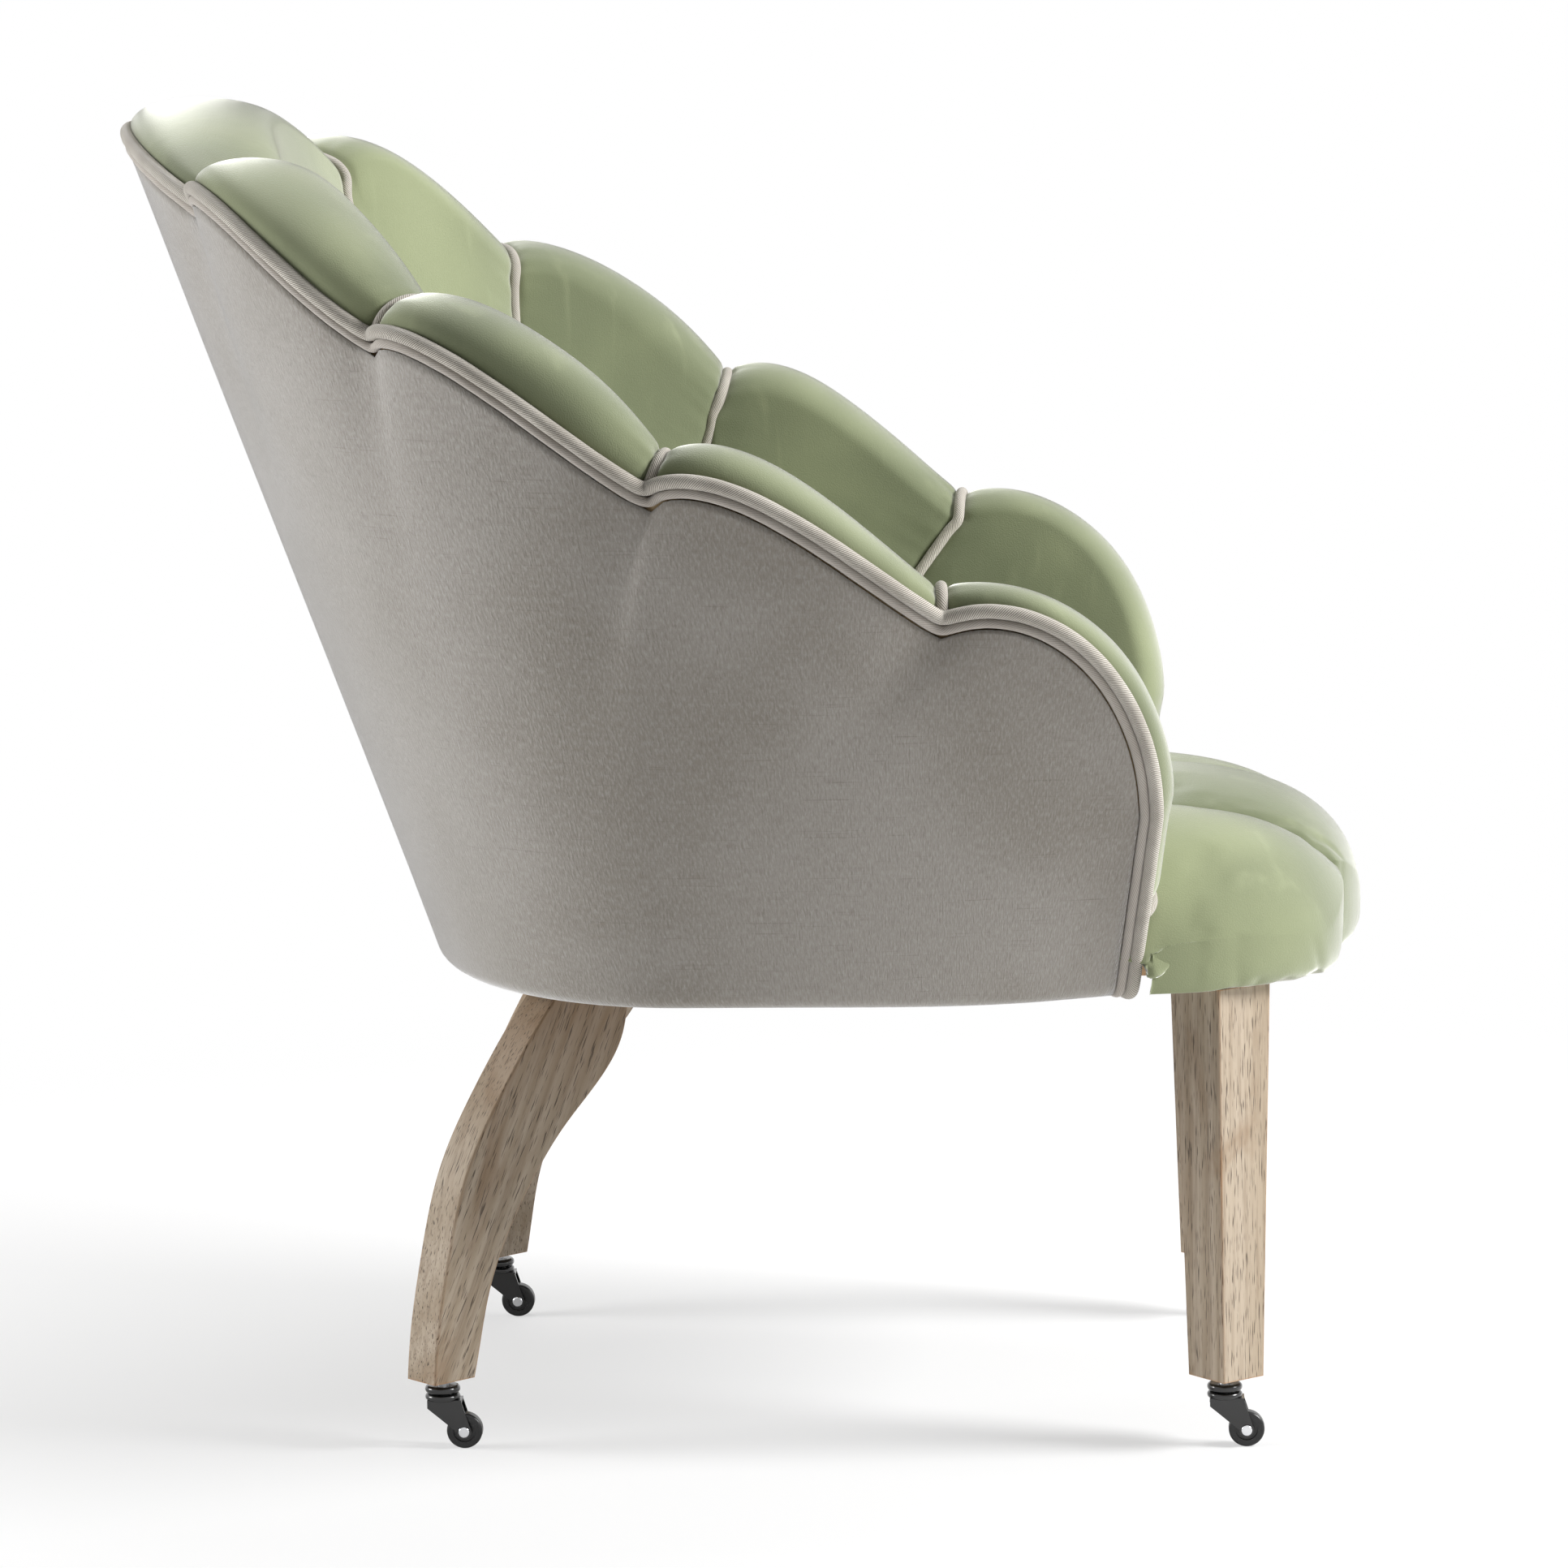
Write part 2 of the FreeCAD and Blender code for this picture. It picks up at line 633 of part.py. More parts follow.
def rail(first_angle, last_angle):
    """Curved rail sawn to the wall's inside, between two plan angles."""
    faces = []
    for depth in (RAIL_DEPTH, RAIL_DEPTH + RAIL_THICKNESS):
        faces.append([[wall_point(angle, z, depth) for z in shares(4, RAIL_FOOT_Z, RAIL_TOP_Z)]
                      for angle in shares(17, first_angle, last_angle)])
    return slab(*faces)


def front_rail():
    size = (2 * (FRONT_BLOCK_X - JOINT_GAP), RAIL_THICKNESS, RAIL_HEIGHT)
    return box(size, (-size[0] / 2, FRONT_RAIL_Y, RAIL_FOOT_Z))


def front_block():
    """Corner block over a front leg, joining the front rail to the side rail's inside."""
    inner = RAIL_DEPTH + RAIL_THICKNESS + JOINT_GAP
    joint = [wall_point(angle, RAIL_FOOT_Z, inner) for angle in (SIDE_RAIL_ANGLES[1], 116.0, 113.0)]
    corners = [(FRONT_BLOCK_X, FRONT_RAIL_Y)] + list(FRONT_BLOCK)
    corners += [(p.x - JOINT_GAP, p.y) for p in joint]
    corners += [(joint[-1].x - 10, FRONT_BLOCK_BACK_Y), (FRONT_BLOCK_X, FRONT_BLOCK_BACK_Y)]
    return prism(corners, RAIL_FOOT_Z, RAIL_HEIGHT)


def inner_x(y, depth):
    """X of the wall's layer at a depth, at the rails' underside, behind the widest line."""
    low, high = 0.0, 90.0
    for _ in range(40):
        middle = (low + high) / 2
        if wall_point(middle, RAIL_FOOT_Z, depth).y > y:
            low = middle
        else:
            high = middle
    return wall_point(low, RAIL_FOOT_Z, depth).x


def inner_y(x, depth):
    """Y of the wall's layer at a depth, at the rails' underside, at the back."""
    low, high = 0.0, 80.0
    for _ in range(40):
        middle = (low + high) / 2
        if wall_point(middle, RAIL_FOOT_Z, depth).x < x:
            low = middle
        else:
            high = middle
    return wall_point(low, RAIL_FOOT_Z, depth).y


def cross_rail():
    """Board over the rear legs, between the side rails."""
    depth = RAIL_DEPTH + RAIL_THICKNESS + JOINT_GAP
    far_y = CROSS_RAIL_Y + CROSS_RAIL_WIDTH
    corners = [(inner_x(CROSS_RAIL_Y, depth), CROSS_RAIL_Y), (inner_x(far_y, depth), far_y)]
    corners += [(-x, y) for x, y in corners[::-1]]
    return prism(corners, RAIL_FOOT_Z, CROSS_RAIL_HEIGHT)


def rear_block():
    """Block inside the joint of back and side rails."""
    inner = RAIL_DEPTH + RAIL_THICKNESS + JOINT_GAP
    foot = RAIL_FOOT_Z + CROSS_RAIL_HEIGHT + JOINT_GAP
    a, b = [wall_point(angle, foot, inner + 1) for angle in REAR_BLOCK_ANGLES]
    middle = wall_point(sum(REAR_BLOCK_ANGLES) / 2, foot, inner + 1)
    chord = (b - a).normalize()
    corner = (a + b) / 2 + Vector(chord.y, -chord.x, 0) * REAR_BLOCK_REACH
    corners = [(p.x, p.y) for p in (a, middle, b, corner)]
    return prism(corners, foot, RAIL_TOP_Z - foot)


# Seat

def seat_share(x, y):
    """How far a point of the seat's plan lies towards its front edge, 0 to 1."""
    ahead = max(SEAT_FRONT_CENTRE_Y - y, 0.0) / SEAT_FRONT_REACH
    aside = abs(x) / SEAT_FRONT_HALF_WIDTH
    return (aside ** SEAT_ROUNDNESS + ahead ** SEAT_ROUNDNESS) ** (1 / SEAT_ROUNDNESS)


def seat_top(x, y):
    """Height of the seat's velvet: flat over the deck, rounded down at the front, sunk at its seams."""
    share = min(seat_share(x, y), 1.0)
    crown = (1 - share ** SEAT_CROWN_POWER) ** (0.5 + 0.15 * (x / SEAT_FRONT_HALF_WIDTH) ** 2)
    across = (abs(x) / SEAT_LOBE_WIDTH + 0.5) % 1.0
    sink = SEAT_SEAM_SINK * (1 - pillow(across, 2.0)) * min(crown * 1.5, 1.0)
    return SEAT_NOSE_Z + 2 + (SEAT_CREST_Z - SEAT_NOSE_Z - 2) * crown - sink


def seat_foot(x, y):
    """Height of the seat's underside, tucked up towards its front edge."""
    share = (min(seat_share(x, y), 1.0) - SEAT_TUCK_SHARE) / (1 - SEAT_TUCK_SHARE)
    return mix(RAIL_FOOT_Z + FOOT_GAP, SEAT_NOSE_Z - 2, max(share, 0.0) ** 2)


def seat_blank():
    """Whole upholstered seat before its plan is cut out."""
    tops, feet = [], []
    back_y = wall_point(0, RAIL_TOP_Z, FOOT_SEAM_DEPTH).y
    for x in shares(29, -EAR_HALF_WIDTH, EAR_HALF_WIDTH):
        aside = (abs(x) / SEAT_FRONT_HALF_WIDTH) ** SEAT_ROUNDNESS
        front_y = SEAT_FRONT_CENTRE_Y - SEAT_FRONT_REACH * (1 - aside) ** (1 / SEAT_ROUNDNESS)
        ys = [mix(back_y, SEAT_FRONT_CENTRE_Y, share) for share in (0, 0.5, 0.9)]
        ys += [mix(SEAT_FRONT_CENTRE_Y, front_y, math.sin(math.pi / 2 * share)) for share in shares(9)]
        tops.append([Vector(x, y, seat_top(x, y)) for y in ys])
        feet.append([Vector(x, y, seat_foot(x, y)) for y in ys])
    return slab(tops, feet)


def seat_outline():
    """Half plan of the seat on the left: back wall, arm, and the ear in front of the arm."""
    height = SEAT_PAD_FOOT_Z
    corners = []
    for angle in shares(9, 0, 108):
        lobe = sum(1 for notch in FOOT_ANGLES if angle > notch)
        depth = FOOT_SEAM_DEPTH + 0.55 * LOBE_DEPTHS[lobe] + SEAT_WALL_GAP
        point = wall_point(angle, height, depth)
        corners.append((point.x, point.y))
    front = [velvet_point(ARM_LOBE, 0.8, w) for w in (1.3, 1.0, 0.5, 0.15)]
    corners.append((front[0].x - SEAT_ARM_GAP, front[0].y + 30))
    corners.append((front[1].x - SEAT_ARM_GAP - 3, front[1].y))
    ear_back = front[2].y - SEAT_ARM_GAP
    corners.append((front[1].x - SEAT_ARM_GAP - 1, ear_back))
    corners.append((EAR_HALF_WIDTH + 20, ear_back))
    corners.append((EAR_HALF_WIDTH + 20, SEAT_FRONT_CENTRE_Y - SEAT_FRONT_REACH - 20))
    return corners


def seat_lobes():
    """Three velvet lobes of the seat pad, over the rails at the front and over the foam behind."""
    half = seat_outline()
    outline = half + [(-x, y) for x, y in half[:0:-1]]
    pad = seat_blank().common(prism(outline, RAIL_FOOT_Z - 5, 200))
    front = [(FRONT_BLOCK_X, FRONT_RAIL_Y)] + list(FRONT_BLOCK[:3])
    space = [(0, FRONT_RAIL_Y - 1.5)] + [(x + 1.0, y - 1.5) for x, y in front[1:3]]
    space += [(front[3][0] + 2, front[3][1]), (front[3][0] + 2, front[3][1] + 12), (260, front[3][1] + 12),
              (260, 300)]
    space += [(-x, y) for x, y in space[:0:-1]]
    pad = pad.cut(prism(space, RAIL_FOOT_Z - 5, SEAT_PAD_FOOT_Z - RAIL_FOOT_Z + 5))
    reach = SEAT_LOBE_WIDTH / 2 - SEAT_SEAM_GAP / 2
    middle = pad.common(box((2 * reach, 900, 300), (-reach, -600, 250)))
    side = pad.common(box((300, 900, 300), (reach + SEAT_SEAM_GAP, -600, 250)))
    return middle, side


def inner_frame(depth):
    """Corners of the space inside the rails, on the left, from the back's centre to the front rail."""
    corners = []
    for angle in shares(6, 0, 110):
        point = wall_point(angle, RAIL_TOP_Z, depth)
        corners.append((point.x, point.y))
    return corners


def seat_foam():
    """Foam sheet over the springs, under the seat pad."""
    half = inner_frame(FOOT_SEAM_DEPTH + max(LOBE_DEPTHS) * 0.55 + FOAM_INSET)
    half += [(FRONT_BLOCK[3][0] - FOAM_INSET, FRONT_BLOCK[3][1] + 30), (FRONT_BLOCK[0][0], FRONT_RAIL_Y + 6)]
    outline = half + [(-x, y) for x, y in half[:0:-1]]
    foot = RAIL_TOP_Z + JOINT_GAP
    return prism(outline, foot, SEAT_PAD_FOOT_Z - FOOT_GAP - foot)


def spring(x, back_y):
    """Sinuous spring: bars across the seat joined by half-round bends, run from front rail to back rail."""
    z = SPRING_Z
    pitch = (back_y - SPRING_FRONT_Y) / SPRING_BENDS
    bend = pitch / 2
    half = SPRING_WIDTH / 2
    edges = []
    for i in range(SPRING_BENDS + 1):
        y = SPRING_FRONT_Y + i * pitch
        way = 1 if i % 2 == 0 else -1
        edges.append(Part.LineSegment(Vector(x - half * way, y, z), Vector(x + half * way, y, z)).toShape())
        if i < SPRING_BENDS:
            start = Vector(x + half * way, y, z)
            middle = Vector(x + (half + bend) * way, y + bend, z)
            edges.append(Part.Arc(start, middle, start + Vector(0, pitch, 0)).toShape())
    wire = Part.Wire(edges)
    start = edges[0].valueAt(0)
    profile = Part.Wire(Part.Circle(start, Vector(1, 0, 0), SPRING_WIRE_D / 2).toShape())
    return wire.makePipeShell([profile], True, False)


def spring_places():
    """X of each spring and the Y at which it meets the back rail."""
    places = []
    for i in range(SPRING_COUNT):
        x = (i - (SPRING_COUNT - 1) / 2) * SPRING_PITCH
        rail_y = inner_y(abs(x) + CLIP_SIZE[0] / 2, RAIL_DEPTH + RAIL_THICKNESS)
        places.append((x, rail_y - JOINT_GAP - CLIP_SIZE[1] / 2))
    return places


def spring_clips():
    """Blocks on the rails' insides, slotted for the springs' end bars."""
    clips = []
    width, length, height = CLIP_SIZE
    for x, back_y in spring_places():
        for y in (SPRING_FRONT_Y, back_y):
            clip = box(CLIP_SIZE, (x - width / 2, y - length / 2, RAIL_TOP_Z - height))
            groove = SPRING_WIRE_D + 2 * BOLT_GAP
            slot = box((width + 2, groove, height), (x - width / 2 - 1, y - groove / 2,
                                                     SPRING_Z - groove / 2))
            clips.append(clip.cut(slot))
    return Part.Compound(clips)


# Legs

def front_leg():
    """Square tapered leg, set cornerwise, with a hole for its bolt and one for the caster's socket."""
    wires = []
    for (x, y), side, z in ((FRONT_LEG_FOOT, FRONT_LEG_FOOT_SIDE, LEG_FOOT_Z),
                            (FRONT_LEG_TOP, FRONT_LEG_TOP_SIDE, RAIL_FOOT_Z - JOINT_GAP)):
        reach = side / math.sqrt(2)
        turns = [math.radians(45 - LEG_TURN + 90 * i) for i in range(4)]
        corners = [Vector(x + reach * math.cos(t), y + reach * math.sin(t), z) for t in turns]
        wires.append(Part.makePolygon(corners + corners[:1]))
    leg = Part.makeLoft(wires, True, True)
    uprights = [e for e in leg.Edges if abs(e.Vertexes[0].Z - e.Vertexes[-1].Z) > 100]
    leg = leg.makeFillet(LEG_EDGE_R, uprights)
    return bored_leg(leg, FRONT_BOLT, FRONT_STEM)


def rear_leg():
    """Sabre leg sawn from a board that stands in the chair's diagonal."""
    def curve(points):
        line = Part.BSplineCurve()
        line.interpolate([Vector(d, 0, z) for d, z in points])
        return line.toShape()

    top = RAIL_FOOT_Z - JOINT_GAP
    back = [(REAR_LEG_TOP[1], top)] + list(REAR_LEG_BACK) + [(REAR_LEG_FOOT[1], LEG_FOOT_Z)]
    front = [(REAR_LEG_FOOT[0], LEG_FOOT_Z)] + list(REAR_LEG_FRONT) + [(REAR_LEG_TOP[0], top)]
    ends = [Part.makeLine(Vector(back[-1][0], 0, LEG_FOOT_Z), Vector(front[0][0], 0, LEG_FOOT_Z)),
            Part.makeLine(Vector(front[-1][0], 0, top), Vector(back[0][0], 0, top))]
    outline = Part.Wire([curve(back), ends[0], curve(front), ends[1]])
    leg = Part.Face(outline).extrude(Vector(0, REAR_LEG_THICKNESS, 0))
    leg.translate(Vector(0, REAR_LEG_OFFSET - REAR_LEG_THICKNESS / 2, 0))
    leg = leg.makeFillet(LEG_EDGE_R, [e for e in leg.Edges if e.BoundBox.ZLength > 100])
    leg.rotate(Vector(0, 0, 0), UP, 45)
    return bored_leg(leg, rear_bolt(), REAR_STEM)


def rear_bolt():
    """Centre of the rear leg's top."""
    reach = (REAR_LEG_TOP[0] + REAR_LEG_TOP[1]) / 2
    return ((reach - REAR_LEG_OFFSET) / math.sqrt(2), (reach + REAR_LEG_OFFSET) / math.sqrt(2))


def bored_leg(leg, bolt, stem):
    """Bore a leg for its bolt and its caster socket."""
    hole = LEG_BOLT_D + 2 * BOLT_GAP
    depth = LEG_BOLT_DEPTH + BOLT_GAP
    leg = leg.cut(rod(hole, depth + BORE_TAIL, (*bolt, RAIL_FOOT_Z - JOINT_GAP - depth)))
    socket = (*stem, LEG_FOOT_Z - SOCKET_TAIL)
    return leg.cut(rod(SOCKET_D + 2 * BOLT_GAP, SOCKET_DEPTH + BOLT_GAP + SOCKET_TAIL, socket))


def leg_bolt(x, y):
    """Threaded dowel from the frame down into a leg."""
    length = LEG_BOLT_DEPTH + LEG_BOLT_RISE
    return rod(LEG_BOLT_D, length, (x, y, RAIL_FOOT_Z - JOINT_GAP - LEG_BOLT_DEPTH))


def bolt_hole(x, y):
    return rod(LEG_BOLT_D + 2 * BOLT_GAP, LEG_BOLT_RISE + 2, (x, y, RAIL_FOOT_Z - 1))


# Casters, made about the stem's axis at the origin

def caster_socket():
    """Steel sleeve in the leg, with a flange under it."""
    sleeve = rod(SOCKET_D, SOCKET_DEPTH, (0, 0, LEG_FOOT_Z))
    flange = rod(SOCKET_FLANGE_D, SOCKET_FLANGE_THICKNESS, (0, 0, LEG_FOOT_Z - SOCKET_FLANGE_THICKNESS))
    bore = rod(STEM_D + 2 * RUN_GAP, SOCKET_DEPTH + 2, (0, 0, LEG_FOOT_Z - SOCKET_FLANGE_THICKNESS))
    return sleeve.fuse(flange).cut(bore)


CAP_TOP_Z = LEG_FOOT_Z - SOCKET_FLANGE_THICKNESS - CAP_DROP
CAP_FOOT_Z = CAP_TOP_Z - CAP_HEIGHT
RACE_FOOT_Z = CAP_FOOT_Z - JOINT_GAP - RACE_HEIGHT
CROWN_FOOT_Z = RACE_FOOT_Z - CROWN_THICKNESS
STEM_RISE = 28.0


def caster_stem():
    """Stem fixed in the socket, with a riveted end under the fork."""
    top = LEG_FOOT_Z + STEM_RISE
    shank = rod(STEM_D, top - CROWN_FOOT_Z + JOINT_GAP, (0, 0, CROWN_FOOT_Z - JOINT_GAP))
    rivet = rod(RIVET_D, RIVET_HEIGHT, (0, 0, CROWN_FOOT_Z - JOINT_GAP - RIVET_HEIGHT))
    stem = shank.fuse(rivet).removeSplitter()
    return stem.makeChamfer(0.8, [e for e in stem.Edges if abs(e.BoundBox.ZMin - top) < 0.01
                                  and e.BoundBox.ZLength < 0.01])


def bead(foot, height, bore):
    """Ring with a rounded rim."""
    ring = rod(CAP_D, height, (0, 0, foot))
    ring = ring.makeFillet(height * 0.45, [e for e in ring.Edges if e.BoundBox.ZLength < 0.01])
    return ring.cut(rod(bore, height + 2, (0, 0, foot - 1)))


def caster_cap():
    """Cap pressed on the stem over the ball race."""
    return bead(CAP_FOOT_Z, CAP_HEIGHT, STEM_D + 2 * RUN_GAP)


def caster_fork():
    """Swivelling fork: ball race ring, crown, and two slanted plates down to the axle."""
    bore = STEM_D + 2 * RUN_GAP
    inside = WHEEL_WIDTH / 2 + SIDE_GAP
    outside = inside + FORK_PLATE
    race = bead(RACE_FOOT_Z, RACE_HEIGHT, bore)
    crown = box((2 * outside, FORK_HALF_LENGTH * 2 + FORK_LIP, CROWN_THICKNESS + 0.5),
                (-outside, -FORK_HALF_LENGTH - FORK_LIP, CROWN_FOOT_Z))
    hub_z = WHEEL_D / 2
    plates = []
    for x in (-outside, inside):
        corners = [(FORK_HALF_LENGTH, CROWN_FOOT_Z + 1), (FORK_HALF_LENGTH, CROWN_FOOT_Z - 3),
                   (-CASTER_TRAIL + FORK_TOE, hub_z), (-CASTER_TRAIL - FORK_TOE, hub_z),
                   (-FORK_HALF_LENGTH - FORK_LIP, CROWN_FOOT_Z + 1)]
        points = [Vector(x, y, z) for y, z in corners]
        plate = Part.Face(Part.makePolygon(points + points[:1])).extrude(Vector(FORK_PLATE, 0, 0))
        eye = rod(2 * FORK_TOE, FORK_PLATE, (x, -CASTER_TRAIL, hub_z), Vector(1, 0, 0))
        plates.append(plate.fuse(eye))
    fork = race.fuse([crown] + plates).removeSplitter()
    fork = fork.cut(rod(bore, 30, (0, 0, CROWN_FOOT_Z - 5)))
    return fork.cut(rod(AXLE_D + 2 * BOLT_GAP, 40, (-20, -CASTER_TRAIL, hub_z), Vector(1, 0, 0)))


def caster_axle():
    """Axle with a domed head on each side of the fork."""
    across = Vector(1, 0, 0)
    outside = WHEEL_WIDTH / 2 + SIDE_GAP + FORK_PLATE + BOLT_GAP
    place = (-CASTER_TRAIL, WHEEL_D / 2)
    axle = rod(AXLE_D, 2 * outside, (-outside, *place), across)
    heads = []
    for way in (-1, 1):
        head = rod(AXLE_HEAD_D, AXLE_HEAD_HEIGHT, (way * outside, *place), across * way)
        outer = way * (outside + AXLE_HEAD_HEIGHT)
        heads.append(head.makeFillet(AXLE_HEAD_HEIGHT * 0.6, [e for e in head.Edges if e.BoundBox.XLength < 0.01
                                                              and abs(e.BoundBox.XMin - outer) < 0.01]))
    return axle.fuse(heads)


def caster_wheel():
    """Wheel with rounded tread corners and a dished hub on each side."""
    across = Vector(1, 0, 0)
    place = (-CASTER_TRAIL, WHEEL_D / 2)
    wheel = rod(WHEEL_D, WHEEL_WIDTH, (-WHEEL_WIDTH / 2, *place), across)
    wheel = wheel.makeFillet(WHEEL_EDGE, [e for e in wheel.Edges if e.BoundBox.XLength < 0.01])
    dishes = [rod(WHEEL_DISH_D, WHEEL_DISH_DEPTH, (x, *place), across)
              for x in (-WHEEL_WIDTH / 2, WHEEL_WIDTH / 2 - WHEEL_DISH_DEPTH)]
    hub = rod(AXLE_HEAD_D + 2, WHEEL_WIDTH, (-WHEEL_WIDTH / 2, *place), across)
    wheel = wheel.cut(dishes).fuse(hub)
    return wheel.cut(rod(AXLE_D + 2 * RUN_GAP, WHEEL_WIDTH + 2, (-WHEEL_WIDTH / 2 - 1, *place), across))


def dust_cover():
    """Cloth stapled under the rails, cut out round the legs."""
    half = inner_frame(RAIL_DEPTH + DUST_COVER_INSET)
    half += [(FRONT_BLOCK[3][0] - 4, FRONT_BLOCK[3][1] + 30), (FRONT_BLOCK_X - 4, FRONT_BLOCK[3][1] + 30),
             (FRONT_BLOCK_X - 4, FRONT_RAIL_Y + DUST_COVER_INSET)]
    outline = half + [(-x, y) for x, y in half[:0:-1]]
    sheet = prism(outline, RAIL_FOOT_Z - JOINT_GAP - DUST_COVER_THICKNESS, DUST_COVER_THICKNESS)
    room = REAR_LEG_THICKNESS + 4
    x, y = rear_bolt()
    for side in (-1, 1):
        hole = box((90, room, 20), (-45, -room / 2, RAIL_FOOT_Z - 10))
        hole.rotate(Vector(0, 0, 0), UP, 45 * side if side > 0 else 135)
        hole.translate(Vector(x * side, y, 0))
        sheet = sheet.cut(hole)
    return sheet


# All sub-parts

def pair(made, name, shape):
    """A left sub-part and its reflection."""
    made["left_" + name] = shape
    made["right_" + name] = on_side(shape, -1)


def body_parts():
    made = {"back_centre_flute": flute(0)}
    for lobe, name in enumerate(("back_flute", "rear_side_flute", "front_side_flute", "arm_flute"), 1):
        pair(made, name, flute(lobe))
    made["back_ply_shell"] = ply_shell(-1, 1, True, True)
    pair(made, "ply_shell", ply_shell(2, ARM_LOBE, True, False))
    made["outside_cover"] = cover()
    made["edge_piping_upper"] = edge_cord(EDGE_PIPING_D, PLY_DEPTH - EDGE_PIPING_D / 2 - JOINT_GAP, 0.0)
    made["edge_piping_lower"] = edge_cord(LOWER_PIPING_D, PLY_DEPTH - LOWER_PIPING_D / 2 - JOINT_GAP,
                                          (EDGE_PIPING_D + LOWER_PIPING_D) / 2 + PIPING_GAP)
    made["channel_piping"] = channel_cords()
    return made


def frame_parts():
    made = {"back_rail": rail(-BACK_RAIL_ANGLE, BACK_RAIL_ANGLE), "front_rail": front_rail()}
    pair(made, "side_rail", rail(*SIDE_RAIL_ANGLES))
    front, rear = front_block(), cross_rail()
    for side in (-1, 1):
        rear = rear.cut(bolt_hole(rear_bolt()[0] * side, rear_bolt()[1]))
    front = front.cut(bolt_hole(*FRONT_BOLT))
    made["front_corner_blocks"] = Part.Compound([front, on_side(front, -1)])
    made["rear_corner_blocks"] = Part.Compound([rear_block(), on_side(rear_block(), -1)])
    made["rear_cross_rail"] = rear
    return made


def seat_parts():
    middle, side = seat_lobes()
    made = {"seat_centre_lobe": middle, "seat_foam": seat_foam(), "dust_cover": dust_cover()}
    pair(made, "seat_lobe", side)
    made["seat_springs"] = Part.Compound([spring(x, y) for x, y in spring_places()])
    made["spring_clips"] = spring_clips()
    return made


def leg_parts():
    made = {}
    pair(made, "front_leg", front_leg())
    pair(made, "rear_leg", rear_leg())
    bolts = [leg_bolt(side * x, y) for x, y in (FRONT_BOLT, rear_bolt()) for side in (-1, 1)]
    made["leg_bolts"] = Part.Compound(bolts)
    return made


def caster_parts():
    made = {}
    pieces = (("cap", caster_cap()), ("stem", caster_stem()), ("fork", caster_fork()),
              ("axle", caster_axle()), ("wheel", caster_wheel()))
    sockets = []
    for end, (x, y) in (("front", FRONT_STEM), ("rear", REAR_STEM)):
        for side_name, side in SIDES:
            place = Vector(x * side, y, 0)
            sockets.append(caster_socket().translated(place))
            for name, shape in pieces:
                made["_".join((end, side_name, "caster", name))] = shape.translated(place)
    made["caster_sockets"] = Part.Compound(sockets)
    return made


def main():
    os.makedirs("parts", exist_ok=True)
    for make in (body_parts, frame_parts, seat_parts, leg_parts, caster_parts):
        for name, shape in make().items():
            save(shape, name)


main()
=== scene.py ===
"""Looks of the scallop back chair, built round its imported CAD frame.

Objects are in metres in the CAD's frame: the sitter faces -Y, +X is the sitter's left, the floor is Z 0.
The wall's rules repeat those of the CAD source, in millimetres.
"""
import logging
import math
import random
from dataclasses import dataclass, field
from enum import Enum
from typing import Any, Iterable, Sequence

import bmesh
import bpy
import numpy as np
from mathutils import Matrix, Vector, noise


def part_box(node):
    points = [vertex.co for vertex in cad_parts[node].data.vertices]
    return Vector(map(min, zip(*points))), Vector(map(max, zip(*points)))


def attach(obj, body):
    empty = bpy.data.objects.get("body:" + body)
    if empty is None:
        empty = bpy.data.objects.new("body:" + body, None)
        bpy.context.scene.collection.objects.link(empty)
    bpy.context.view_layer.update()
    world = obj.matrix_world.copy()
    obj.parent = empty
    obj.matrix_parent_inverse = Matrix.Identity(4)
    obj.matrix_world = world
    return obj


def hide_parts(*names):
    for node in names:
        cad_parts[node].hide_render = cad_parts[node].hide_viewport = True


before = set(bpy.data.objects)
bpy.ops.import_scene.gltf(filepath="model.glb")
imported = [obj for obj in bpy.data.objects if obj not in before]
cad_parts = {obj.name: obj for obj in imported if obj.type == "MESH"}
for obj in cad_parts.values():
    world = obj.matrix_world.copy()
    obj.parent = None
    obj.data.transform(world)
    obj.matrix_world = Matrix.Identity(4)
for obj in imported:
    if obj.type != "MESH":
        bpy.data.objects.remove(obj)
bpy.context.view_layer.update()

MM = 0.001
CHAIR = "chair"
# Height in metres, far above the chair, from which a leg that has no painted shade at its top would be
# painted darker
NOWHERE = 9.0
LOG = logging.getLogger("scallop_chair")
Rows = list[list[Vector]]


class Side(Enum):
    """Side of the chair, as the sign of X."""

    LEFT = 1
    RIGHT = -1


# Small tools

def linear(code: str) -> tuple[float, float, float, float]:
    """Turn an sRGB hex colour to linear.

    Args:
        code: colour such as "#9BA279".

    Returns:
        Linear red, green, blue and an alpha of 1.
    """
    parts = [int(code[i:i + 2], 16) / 255 for i in (1, 3, 5)]
    lit = [c / 12.92 if c <= 0.04045 else ((c + 0.055) / 1.055) ** 2.4 for c in parts]
    return lit[0], lit[1], lit[2], 1.0


def put(tree: bpy.types.NodeTree, kind: str, inputs: dict[Any, Any] | None = None,
        **settings: Any) -> bpy.types.Node:
    """Add one node to a tree.

    Args:
        tree: the node tree.
        kind: the node's type name.
        inputs: value or output socket for each input, by name or number.
        settings: the node's own properties.

    Returns:
        The node.
    """
    node = tree.nodes.new(kind)
    for key, value in settings.items():
        setattr(node, key, value)
    wire(tree, node, inputs or {})
    return node


def wire(tree: bpy.types.NodeTree, node: bpy.types.Node, inputs: dict[Any, Any]) -> None:
    """Set a node's inputs, by name or number, to values or to other nodes' output sockets."""
    for key, value in inputs.items():
        if isinstance(value, bpy.types.NodeSocket):
            tree.links.new(value, node.inputs[key])
        else:
            node.inputs[key].default_value = value


